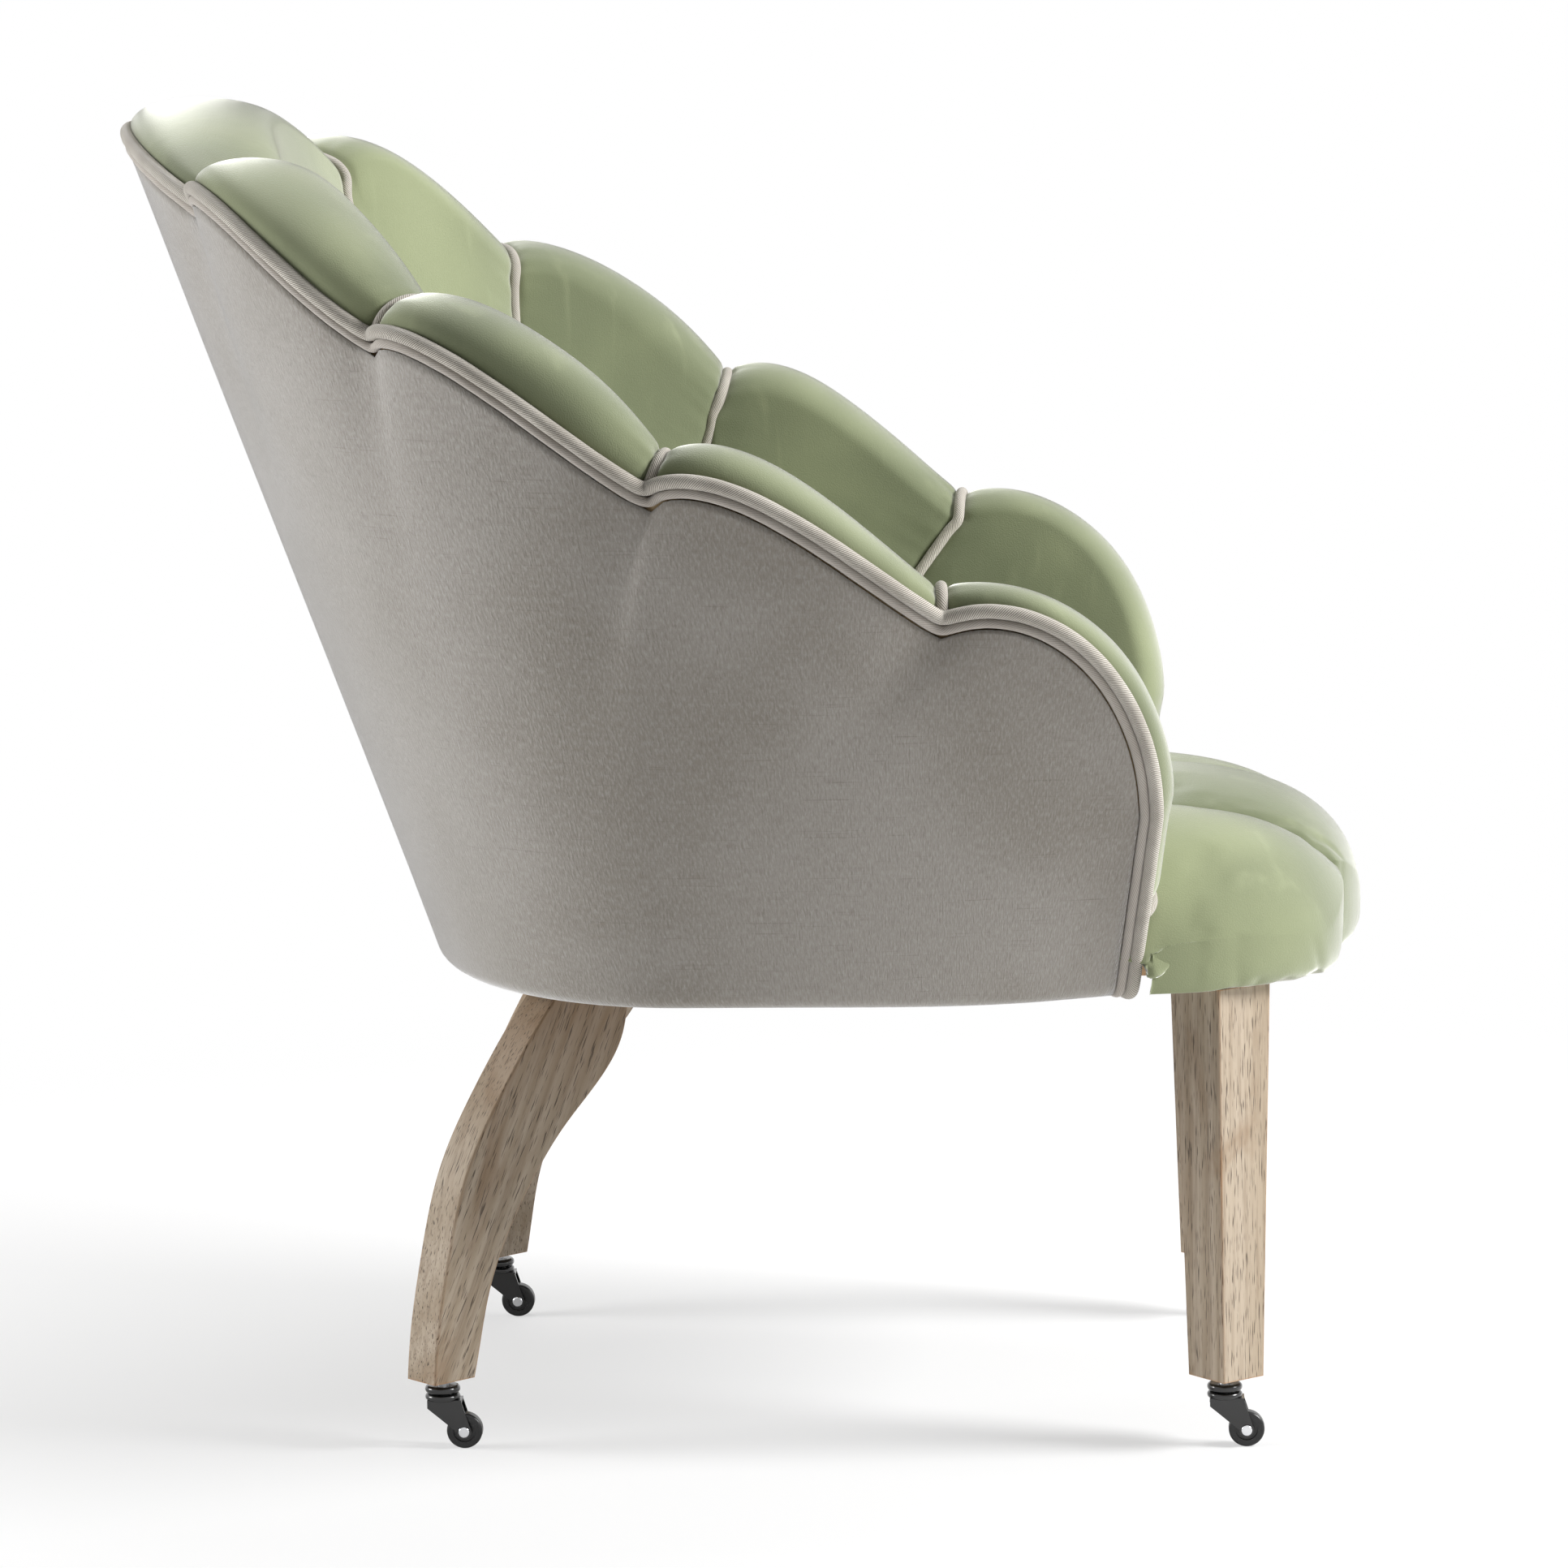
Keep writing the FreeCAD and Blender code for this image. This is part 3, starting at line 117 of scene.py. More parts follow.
def new_material(name: str) -> tuple[bpy.types.Material, bpy.types.NodeTree, bpy.types.Node]:
    """Start a material: itself, its node tree and its shader."""
    made = bpy.data.materials.new(name)
    made.use_nodes = True
    return made, made.node_tree, made.node_tree.nodes["Principled BSDF"]


def new_tree(name: str, given: dict[str, tuple[str, Any]], result: str) -> bpy.types.NodeTree:
    """Start a Geometry Nodes tree.

    Args:
        name: the tree's name.
        given: kind of socket and first value, or None, for each input by name.
        result: the output's name.

    Returns:
        The tree, with its sockets and no nodes.
    """
    made = bpy.data.node_groups.new(name, "GeometryNodeTree")
    for label, (kind, value) in given.items():
        socket = made.interface.new_socket(label, in_out="INPUT", socket_type="NodeSocket" + kind)
        if value is not None:
            socket.default_value = value
    made.interface.new_socket(result, in_out="OUTPUT", socket_type="NodeSocketGeometry")
    return made


def run_along(tree: bpy.types.NodeTree, name: str, paths: list[list[Vector]], values: dict[str,
        Any]) -> bpy.types.Mesh:
    """Run a Geometry Nodes tree on open paths.

    Args:
        tree: the tree.
        name: the new mesh's name.
        paths: points of each path, in metres.
        values: the tree's inputs by name.

    Returns:
        A plain mesh.
    """
    curve = bpy.data.curves.new(name, "CURVE")
    curve.dimensions = "3D"
    for path in paths:
        spline = curve.splines.new("POLY")
        spline.points.add(len(path) - 1)
        for target, place in zip(spline.points, path):
            target.co = (*place, 1.0)
    holder = bpy.data.objects.new(name + "_path", curve)
    bpy.context.scene.collection.objects.link(holder)
    modifier = holder.modifiers.new(name, "NODES")
    modifier.node_group = tree
    for item in tree.interface.items_tree:
        if item.in_out == "INPUT" and item.name in values:
            modifier[item.identifier] = values[item.name]
    graph = bpy.context.evaluated_depsgraph_get()
    mesh = bpy.data.meshes.new_from_object(holder.evaluated_get(graph), preserve_all_data_layers=True,
        depsgraph=graph)
    bpy.data.objects.remove(holder)
    mesh.name = name
    return mesh


def mix(a: float, b: float, share: float) -> float:
    """Value a share of the way from a to b."""
    return a + (b - a) * share


def smooth_step(low: float, high: float, x: float) -> float:
    """Rise smoothly from 0 at low to 1 at high."""
    t = min(max((x - low) / (high - low), 0.0), 1.0)
    return t * t * (3 - 2 * t)


def lookup(x: float, xs: Sequence[float], ys: Sequence[float]) -> float:
    """Straight-line interpolation in a short list."""
    return float(np.interp(x, xs, ys))


def shares(count: int, start: float = 0.0, end: float = 1.0) -> list[float]:
    """Evenly spaced values, both ends included."""
    return [mix(start, end, i / (count - 1)) for i in range(count)]


def crowded(count: int, amount: float = 0.5) -> list[float]:
    """Values from 0 to 1 that lie closer together near both ends."""
    return [mix(t, 0.5 * (1 - math.cos(math.pi * t)), amount) for t in shares(count)]


def sided(points: Iterable[Vector], sign: int) -> list[Vector]:
    """The same points with X times a sign."""
    return [Vector((p.x * sign, p.y, p.z)) for p in points]


def new_object(name: str, mesh: bpy.types.Mesh) -> bpy.types.Object:
    """Put a mesh in the scene as a smooth object at the origin."""
    mesh.shade_smooth()
    made = bpy.data.objects.new(name, mesh)
    bpy.context.scene.collection.objects.link(made)
    return made


def baked(piece: bpy.types.Object) -> None:
    """Turn a piece's modifiers into its own mesh, and remove them."""
    graph = bpy.context.evaluated_depsgraph_get()
    graph.update()
    mesh = bpy.data.meshes.new_from_object(piece.evaluated_get(graph), preserve_all_data_layers=True,
        depsgraph=graph)
    piece.modifiers.clear()
    piece.data = mesh
    mesh.name = piece.name


def finished(piece: bpy.types.Object, material: bpy.types.Material | None,
        nodes: Iterable[str] = (), body: str = CHAIR) -> bpy.types.Object:
    """Dress a piece and tie it to the frame.

    Args:
        piece: the finished object.
        material: its material, or None where its mesh has one.
        nodes: the CAD nodes that it stands for.
        body: the CAD body that it rides on.

    Returns:
        The same object.
    """
    if material is not None:
        piece.data.materials.clear()
        piece.data.materials.append(material)
    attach(piece, body)
    if nodes:
        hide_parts(*nodes)
    LOG.info("%s: %d faces on %s", piece.name, len(piece.data.polygons), body)
    return piece


# Finishes

@dataclass(frozen=True)
class Velvet:
    """Short-pile viscose velvet: dark looked at straight on, pale where the pile is seen from its side."""

    name: str = "sage_velvet"
    deep: str = "#70775A"
    pale: str = "#8F9673"
    brushed: str = "#AFB691"
    tint: str = "#F7F8F0"
    patch: float = 170.0
    stroke: float = 26.0
    drawn: tuple[float, float, float] = (1.0, 1.0, 0.16)
    pile: float = 0.9
    sheen: float = 1.0
    sheen_spread: float = 0.4
    sheen_gain: float = 1.7

    def material(self) -> bpy.types.Material:
        """Build the shader."""
        made, tree, shader = new_material(self.name)
        place = put(tree, "ShaderNodeTexCoord").outputs["Object"]
        drawn = put(tree, "ShaderNodeMapping", {"Vector": place, "Scale": self.drawn})
        patches = put(tree, "ShaderNodeTexNoise", {"Vector": place, "Scale": 1000 / self.patch, "Detail": 2.0,
            "Roughness": 0.5, "Distortion": 0.3})
        strokes = put(tree, "ShaderNodeTexNoise", {"Vector": drawn.outputs[0], "Scale": 1000 / self.stroke,
            "Detail": 3.0, "Roughness": 0.5, "Distortion": 0.5})
        pile = put(tree, "ShaderNodeTexNoise", {"Vector": place, "Scale": 1000 / self.pile, "Detail": 2.0})
        lay = put(tree, "ShaderNodeMapRange", {"Value": patches.outputs["Fac"], "From Min": 0.36,
            "From Max": 0.68}, interpolation_type="SMOOTHSTEP")
        brush = put(tree, "ShaderNodeMapRange", {"Value": strokes.outputs["Fac"], "From Min": 0.54,
            "From Max": 0.85, "To Max": 0.3}, interpolation_type="SMOOTHSTEP")
        base = put(tree, "ShaderNodeMix", {0: lay.outputs[0], 6: linear(self.deep), 7: linear(self.pale)},
            data_type="RGBA")
        colour = put(tree, "ShaderNodeMix", {0: brush.outputs[0], 6: base.outputs[2],
            7: linear(self.brushed)}, data_type="RGBA")
        waves = put(tree, "ShaderNodeBump", {"Height": patches.outputs["Fac"], "Strength": 0.3,
            "Distance": 0.004})
        nap = put(tree, "ShaderNodeBump", {"Height": strokes.outputs["Fac"], "Strength": 0.2,
            "Distance": 0.001, "Normal": waves.outputs[0]})
        fibres = put(tree, "ShaderNodeBump", {"Height": pile.outputs["Fac"], "Strength": 0.5,
            "Distance": 0.0004, "Normal": nap.outputs[0]})
        wire(tree, shader, {"Base Color": colour.outputs[2], "Normal": fibres.outputs[0], "Roughness": 0.8,
            "Specular IOR Level": 0.25, "Sheen Weight": self.sheen, "Sheen Roughness": self.sheen_spread,
            "Sheen Tint": [c * self.sheen_gain for c in linear(self.tint)]})
        return made


@dataclass(frozen=True)
class NappedWeave:
    """Brushed polyester-linen weave: mottled silvery nap, fine upright threads, thicker level slubs."""

    name: str = "brushed_grey_weave"
    deep: str = "#8A847B"
    pale: str = "#98938C"
    thread: str = "#6F675E"
    tuft: str = "#B9B6B1"
    tint: str = "#FFFFFF"
    patch: float = 150.0
    grain: float = 1.2
    thread_width: float = 0.9
    slub_width: float = 1.6
    sheen: float = 0.9
    sheen_spread: float = 0.42
    sheen_gain: float = 1.3

    def material(self) -> bpy.types.Material:
        """Build the shader, on the piece's own UV map in metres."""
        made, tree, shader = new_material(self.name)
        place = put(tree, "ShaderNodeTexCoord")
        cloth = place.outputs["UV"]
        upright = put(tree, "ShaderNodeMapping", {"Vector": cloth, "Scale": (1.0, 0.09, 1.0)})
        level = put(tree, "ShaderNodeMapping", {"Vector": cloth, "Scale": (0.035, 1.0, 1.0)})
        short = put(tree, "ShaderNodeMapping", {"Vector": cloth, "Scale": (1.0, 0.25, 1.0)})
        patches = put(tree, "ShaderNodeTexNoise", {"Vector": place.outputs["Object"],
            "Scale": 1000 / self.patch, "Detail": 3.0, "Roughness": 0.5, "Distortion": 0.2})
        threads = put(tree, "ShaderNodeTexNoise", {"Vector": upright.outputs[0],
            "Scale": 1000 / self.thread_width, "Detail": 2.0, "Roughness": 0.6})
        slubs = put(tree, "ShaderNodeTexNoise", {"Vector": level.outputs[0], "Scale": 1000 / self.slub_width,
            "Detail": 2.0, "Roughness": 0.5})
        nap = put(tree, "ShaderNodeTexNoise", {"Vector": short.outputs[0], "Scale": 1000 / self.grain,
            "Detail": 3.0, "Roughness": 0.65})
        lay = put(tree, "ShaderNodeMapRange", {"Value": patches.outputs["Fac"], "From Min": 0.34,
            "From Max": 0.66}, interpolation_type="SMOOTHSTEP")
        base = put(tree, "ShaderNodeMix", {0: lay.outputs[0], 6: linear(self.deep), 7: linear(self.pale)},
            data_type="RGBA")
        dark = put(tree, "ShaderNodeMapRange", {"Value": threads.outputs["Fac"], "From Min": 0.5,
            "From Max": 0.75, "To Max": 0.55})
        lined = put(tree, "ShaderNodeMix", {0: dark.outputs[0], 6: base.outputs[2], 7: linear(self.thread)},
            data_type="RGBA")
        thick = put(tree, "ShaderNodeMapRange", {"Value": slubs.outputs["Fac"], "From Min": 0.62,
            "From Max": 0.8, "To Max": 0.6})
        crossed = put(tree, "ShaderNodeMix", {0: thick.outputs[0], 6: lined.outputs[2],
            7: linear(self.thread)}, data_type="RGBA")
        light = put(tree, "ShaderNodeMapRange", {"Value": nap.outputs["Fac"], "From Min": 0.45,
            "From Max": 0.75, "To Max": 0.5})
        colour = put(tree, "ShaderNodeMix", {0: light.outputs[0], 6: crossed.outputs[2],
            7: linear(self.tuft)}, data_type="RGBA")
        waves = put(tree, "ShaderNodeBump", {"Height": patches.outputs["Fac"], "Strength": 0.2,
            "Distance": 0.004})
        rows = put(tree, "ShaderNodeBump", {"Height": threads.outputs["Fac"], "Strength": 0.5,
            "Distance": 0.0005, "Normal": waves.outputs[0]})
        tufts = put(tree, "ShaderNodeBump", {"Height": nap.outputs["Fac"], "Strength": 0.6,
            "Distance": 0.0008, "Normal": rows.outputs[0]})
        wire(tree, shader, {"Base Color": colour.outputs[2], "Normal": tufts.outputs[0], "Roughness": 0.75,
            "Specular IOR Level": 0.3, "Sheen Weight": self.sheen, "Sheen Roughness": self.sheen_spread,
            "Sheen Tint": [c * self.sheen_gain for c in linear(self.tint)]})
        return made


@dataclass(frozen=True)
class Twill:
    """Cotton twill cut on the bias over cord: slanting ribs, with painted light and shade, the ribs painted
    paler and the grooves darker.

    The real ribs are about 1 mm apart, and are drawn a little coarser so that they show.
    """

    name: str = "grey_twill_piping"
    # Painted light and shade: the ribs' colour is a painted highlight and the grooves' colour a painted shade
    lit_rib: str = "#D6D1C7"
    shaded_groove: str = "#857D72"
    spacing: float = 1.5
    ribs_round: int = 14
    relief: float = 0.4
    fuzz: float = 1.1
    stain: float = 28.0

    def material(self) -> bpy.types.Material:
        """Build the shader on the attribute "cord": cosine and sine of the turn, and metres along it."""
        made, tree, shader = new_material(self.name)
        cord = put(tree, "ShaderNodeAttribute", attribute_name="cord")
        parts = put(tree, "ShaderNodeSeparateXYZ", {0: cord.outputs["Vector"]})
        turn = put(tree, "ShaderNodeMath", {0: parts.outputs[1], 1: parts.outputs[0]}, operation="ARCTAN2")
        wound = put(tree, "ShaderNodeMath", {0: turn.outputs[0], 1: float(self.ribs_round)},
            operation="MULTIPLY")
        run = put(tree, "ShaderNodeMath", {0: parts.outputs[2], 1: 2000 * math.pi / self.spacing},
            operation="MULTIPLY")
        both = put(tree, "ShaderNodeMath", {0: wound.outputs[0], 1: run.outputs[0]}, operation="ADD")
        wave = put(tree, "ShaderNodeMath", {0: both.outputs[0]}, operation="SINE")
        place = put(tree, "ShaderNodeTexCoord").outputs["Object"]
        fuzz = put(tree, "ShaderNodeTexNoise", {"Vector": place, "Scale": 1000 / self.fuzz, "Detail": 3.0})
        stains = put(tree, "ShaderNodeTexNoise", {"Vector": place, "Scale": 1000 / self.stain, "Detail": 2.0})
        ribs = put(tree, "ShaderNodeMapRange", {"Value": wave.outputs[0], "From Min": -1.0, "From Max": 0.6})
        wear_and_shade = put(tree, "ShaderNodeMapRange", {"Value": stains.outputs["Fac"], "From Min": 0.3,
            "From Max": 0.7, "To Min": 0.6, "To Max": 1.0})
        share = put(tree, "ShaderNodeMath", {0: ribs.outputs[0], 1: wear_and_shade.outputs[0]}, operation="MULTIPLY")
        # Painted light and shade: the colour goes from the dark groove colour to the pale rib colour along
        # the relief's wave
        colour = put(tree, "ShaderNodeMix", {0: share.outputs[0], 6: linear(self.shaded_groove),
            7: linear(self.lit_rib)}, data_type="RGBA")
        relief = put(tree, "ShaderNodeBump", {"Height": ribs.outputs[0], "Strength": 0.7,
            "Distance": self.relief * MM})
        fluff = put(tree, "ShaderNodeBump", {"Height": fuzz.outputs["Fac"], "Strength": 0.5,
            "Distance": 0.0004, "Normal": relief.outputs[0]})
        wire(tree, shader, {"Base Color": colour.outputs[2], "Normal": fluff.outputs[0], "Roughness": 0.85,
            "Specular IOR Level": 0.25, "Sheen Weight": 0.35, "Sheen Roughness": 0.5})
        return made


@dataclass(frozen=True)
class Timber:
    """Sawn wood with growth rings, streaks and open pores that run along its grain, patches of bare wood, and
    painted shade from a given height up.
    """

    name: str
    light: str
    middle: str
    dark: str
    pore: str
    # Darker brown for real patches where the wax is rubbed off, and also for the painted shade at the top of
    # a leg
    bare_and_shade: str
    grain: tuple[float, float, float] = (0.0, 0.0, 1.0)
    ring: float = 7.0
    pore_width: float = 0.9
    pore_length: float = 14.0
    roughness: float = 0.62
    wax: float = 0.5
    arris: float = 0.0
    arris_wood: str = "#A9743F"
    # Height in metres from which the wood is painted darker brown, as painted shade under the seat
    shade_from: float = NOWHERE

    def material(self) -> bpy.types.Material:
        """Build the shader on Object coordinates turned so that their Z runs along the grain."""
        made, tree, shader = new_material(self.name)
        turn = Vector(self.grain).rotation_difference(Vector((0, 0, 1))).to_euler()
        place = put(tree, "ShaderNodeTexCoord").outputs["Object"]
        board = put(tree, "ShaderNodeMapping", {"Vector": place, "Rotation": tuple(turn)}).outputs[0]
        long = put(tree, "ShaderNodeMapping", {"Vector": board, "Scale": (1.0, 1.0, 0.035)}).outputs[0]
        dash = put(tree, "ShaderNodeMapping", {"Vector": board, "Scale": (1.0, 1.0,
            self.pore_width / self.pore_length)}).outputs[0]
        bend = put(tree, "ShaderNodeTexNoise", {"Vector": long, "Scale": 9.0, "Detail": 2.0})
        shift = put(tree, "ShaderNodeVectorMath", {0: bend.outputs["Color"], 1: (0.05, 0.05, 0.0)},
            operation="MULTIPLY")
        moved = put(tree, "ShaderNodeVectorMath", {0: long, 1: shift.outputs[0]}, operation="ADD")
        rings = put(tree, "ShaderNodeTexWave", {"Vector": moved.outputs[0], "Scale": 1000 / self.ring / 6.3,
            "Distortion": 2.5, "Detail": 2.0, "Detail Scale": 1.5}, wave_type="RINGS", rings_direction="Z")
        streaks = put(tree, "ShaderNodeTexNoise", {"Vector": long, "Scale": 260.0, "Detail": 4.0,
            "Roughness": 0.65})
        pores = put(tree, "ShaderNodeTexNoise", {"Vector": dash, "Scale": 1000 / self.pore_width,
            "Detail": 1.0})
        stain = put(tree, "ShaderNodeTexNoise", {"Vector": put(tree, "ShaderNodeMapping", {"Vector": board,
            "Scale": (1.0, 1.0, 0.35)}).outputs[0], "Scale": 22.0, "Detail": 4.0, "Roughness": 0.6,
            "Distortion": 0.7})
        early = put(tree, "ShaderNodeMix", {0: rings.outputs["Fac"], 6: linear(self.middle),
            7: linear(self.light)}, data_type="RGBA")
        line = put(tree, "ShaderNodeMapRange", {"Value": streaks.outputs["Fac"], "From Min": 0.45,
            "From Max": 0.75, "To Max": 0.7})
        streaked = put(tree, "ShaderNodeMix", {0: line.outputs[0], 6: early.outputs[2], 7: linear(self.dark)},
            data_type="RGBA")
        spot = put(tree, "ShaderNodeMapRange", {"Value": stain.outputs["Fac"], "From Min": 0.5,
            "From Max": 0.72, "To Max": self.wax}, interpolation_type="SMOOTHSTEP")
        # Painted shade: from the given height up the colour goes towards the darker brown in patches,
        # standing in for the shade under the seat
        height = put(tree, "ShaderNodeSeparateXYZ", {0: place}).outputs[2]
        wear_and_shade = put(tree, "ShaderNodeMapRange", {"Value": height, "From Min": self.shade_from,
            "From Max": self.shade_from + 0.1, "To Max": 1.1})
        patchy_shade = put(tree, "ShaderNodeMath", {0: wear_and_shade.outputs[0], 1: stain.outputs["Fac"]},
            operation="MULTIPLY")
        most = put(tree, "ShaderNodeMath", {0: spot.outputs[0], 1: patchy_shade.outputs[0]}, operation="MAXIMUM")
        warmed = put(tree, "ShaderNodeMix", {0: most.outputs[0], 6: streaked.outputs[2],
            7: linear(self.bare_and_shade)}, data_type="RGBA")
        pit = put(tree, "ShaderNodeMapRange", {"Value": pores.outputs["Fac"], "From Min": 0.6,
            "From Max": 0.7, "To Max": 0.85})
        pitted = put(tree, "ShaderNodeMix", {0: pit.outputs[0], 6: warmed.outputs[2], 7: linear(self.pore)},
            data_type="RGBA")
        colour = pitted.outputs[2]
        if self.arris:
            colour = self.rubbed(tree, colour)
        depth = put(tree, "ShaderNodeMath", {0: 1.0, 1: pit.outputs[0]}, operation="SUBTRACT")
        relief = put(tree, "ShaderNodeBump", {"Height": depth.outputs[0], "Strength": 0.6,
            "Distance": 0.0003})
        fine = put(tree, "ShaderNodeBump", {"Height": streaks.outputs["Fac"], "Strength": 0.4,
            "Distance": 0.0003, "Normal": relief.outputs[0]})
        wire(tree, shader, {"Base Color": colour, "Normal": fine.outputs[0], "Roughness": self.roughness,
            "Specular IOR Level": 0.35})
        return made

    def rubbed(self, tree: bpy.types.NodeTree, colour: bpy.types.NodeSocket) -> bpy.types.NodeSocket:
        """Show the bare wood in a thin line along each arris, where the lime wax is rubbed off."""
        rounded = put(tree, "ShaderNodeBevel", {"Radius": self.arris * MM}, samples=4)
        true = put(tree, "ShaderNodeNewGeometry")
        facing = put(tree, "ShaderNodeVectorMath", {0: rounded.outputs[0], 1: true.outputs["Normal"]},
            operation="DOT_PRODUCT")
        edge = put(tree, "ShaderNodeMapRange", {"Value": facing.outputs["Value"], "From Min": 0.995,
            "From Max": 0.93, "To Max": 0.8})
        return put(tree, "ShaderNodeMix", {0: edge.outputs[0], 6: colour, 7: linear(self.arris_wood)},
            data_type="RGBA").outputs[2]


@dataclass(frozen=True)
class Plain:
    """A hard or plain finish whose fine noise breaks its gloss: metal, enamel, plastic, foam, dust cloth."""

    name: str
    colour: str
    shade: str
    roughness: float
    metallic: float = 0.0
    grain: float = 3.0
    relief: float = 0.02
    coat: float = 0.0

    def material(self) -> bpy.types.Material:
        """Build the shader."""
        made, tree, shader = new_material(self.name)
        place = put(tree, "ShaderNodeTexCoord").outputs["Object"]
        marks = put(tree, "ShaderNodeTexNoise", {"Vector": place, "Scale": 1000 / self.grain, "Detail": 3.0})
        colour = put(tree, "ShaderNodeMix", {0: marks.outputs["Fac"], 6: linear(self.shade),
            7: linear(self.colour)}, data_type="RGBA")
        gloss = put(tree, "ShaderNodeMapRange", {"Value": marks.outputs["Fac"],
            "To Min": self.roughness * 0.7, "To Max": self.roughness * 1.3})
        bump = put(tree, "ShaderNodeBump", {"Height": marks.outputs["Fac"], "Strength": 0.4,
            "Distance": self.relief * MM})
        wire(tree, shader, {"Base Color": colour.outputs[2], "Roughness": gloss.outputs[0],
            "Normal": bump.outputs[0], "Metallic": self.metallic, "Coat Weight": self.coat})
        return made


def limed_oak(name: str, grain: tuple[float, float, float], shade_from: float = NOWHERE) -> Timber:
    """Oak under grey lime wax, rubbed back to bare wood on its arrises, its open pores left dark, and painted
    darker brown from a given height up as painted shade under the seat.
    """
    return Timber(name, light="#B5A693", middle="#A79782", dark="#82705C", pore="#463A30", bare_and_shade="#7A5A36",
        grain=grain, arris=1.6, shade_from=shade_from)


# The wall's rules, in millimetres

@dataclass
class Barrel:
    """Outside face, scalloped edge and velvet of the wall. Lobe 0 is the back's centre, lobe 4 the arm."""

    base_z: float = 312.0
    base: tuple[float, float, float, float] = (266.0, 39.0, 177.0, 508.0)
    rim: tuple[float, float, float, float] = (361.0, 50.0, 354.0, 560.0)
    rim_taper: float = 1.2
    notch_angles: tuple[float, ...] = (29.0, 60.0, 90.5, 110.0)
    notch_heights: tuple[float, ...] = (837.0, 757.0, 661.0, 575.0)
    scallop_rises: tuple[float, ...] = (43.0, 30.0, 23.0, 26.0)
    scallop_lean: float = 0.66
    arm_front_angle: float = 126.0
    arm_rule_z: float = 460.0
    shoulder_z: float = 440.0
    arch_depth: float = 106.0
    arm_foot_z: float = 322.0
    notch_dent: float = 10.0
    seam_depths: tuple[float, ...] = (66.0, 60.0, 50.0, 42.0)
    seam_rolls: tuple[float, ...] = (18.0, 25.0, 24.0, 20.0)
    seam_leans: tuple[float, ...] = (0.0, 28.0, 21.0, 0.0)
    lobe_depths: tuple[float, ...] = (34.0, 28.0, 26.0, 24.0, 16.0)
    lobe_rolls: tuple[float, ...] = (3.0, 7.0, 12.0, 1.0, -7.0)
    arm_front_depth: float = 42.0
    arm_front_roll: float = 26.0
    foot_seam_depth: float = 46.0
    foot_angles: tuple[float, ...] = (18.0, 46.0, 73.0, 94.0)
    arm_foot_angles: tuple[float, ...] = (94.0, 117.0, 121.5, 123.5)
    arm_foot_shares: tuple[float, ...] = (0.0, 0.6, 0.78, 1.0)
    foot_z: float = 374.5
    backing_depth: float = 15.3
    arch_run: float = 0.58
    arm: int = 4
    arch_y: float = field(init=False)
    arch_start: float = field(init=False)
    arch_rise: float = field(init=False)

    def __post_init__(self) -> None:
        """Work out the arm's arch, so that it leaves the last notch and meets the arm's front."""
        self.arch_y = self.face(self.arm_front_angle, self.shoulder_z).y + self.arch_depth
        notch = self.face(self.notch_angles[-1], self.notch_heights[-1])
        self.arch_start = -math.asin((notch.y - self.arch_y) / self.arch_depth)
        self.arch_rise = (self.notch_heights[-1] - self.shoulder_z) / math.cos(self.arch_start)

    def plan(self, ellipse: tuple[float, float, float, float], taper: float, angle: float) -> tuple[float,
            float]:
        """Point of a plan at an angle in degrees from the back's centre."""
        half_width, widest_y, back, front = ellipse
        sine, cosine = math.sin(math.radians(angle)), math.cos(math.radians(angle))
        if cosine >= 0:
            return half_width * sine, widest_y + back * cosine
        return math.copysign(half_width * abs(sine) ** taper, sine), widest_y + front * cosine

    def face(self, angle: float, z: float) -> Vector:
        """Point of the outside face."""
        x0, y0 = self.plan(self.base, 1.0, angle)
        x1, y1 = self.plan(self.rim, self.rim_taper, angle)
        rule = lookup(abs(angle), (0.0,) + self.notch_angles + (self.arm_front_angle,),
            self.notch_heights[:1] + self.notch_heights + (self.arm_rule_z,))
        share = (z - self.base_z) / (rule - self.base_z)
        return Vector((mix(x0, x1, share), mix(y0, y1, share), z))

    def outward(self, angle: float, z: float) -> Vector:
        """Level direction square to the outside face."""
        along = self.face(angle + 0.2, z) - self.face(angle - 0.2, z)
        return Vector((-along.y, along.x, 0.0)).normalized()

    def wall(self, angle: float, z: float, depth: float) -> Vector:
        """Point at a level depth in from the outside face."""
        return self.face(angle, z) - self.outward(angle, z) * depth

    def angle_at(self, y: float, z: float) -> float:
        """Plan angle of the arm's outside face at a Y."""
        low, high = 90.0, 140.0
        for _ in range(30):
            middle = (low + high) / 2
            low, high = (middle, high) if self.face(middle, z).y > y else (low, middle)
        return low

    def pillow(self, v: float, power: float = 2.4) -> float:
        """Rounded profile from seam to seam."""
        return max(1 - abs(2 * v - 1) ** power, 0.0) ** 0.8

    def dent(self, lobe: int, v: float) -> float:
        """Depth by which a notch pulls the rim in."""
        return self.notch_dent * (1 - self.pillow(min(v, 0.5) if lobe == self.arm else v, 2.0)) ** 1.5

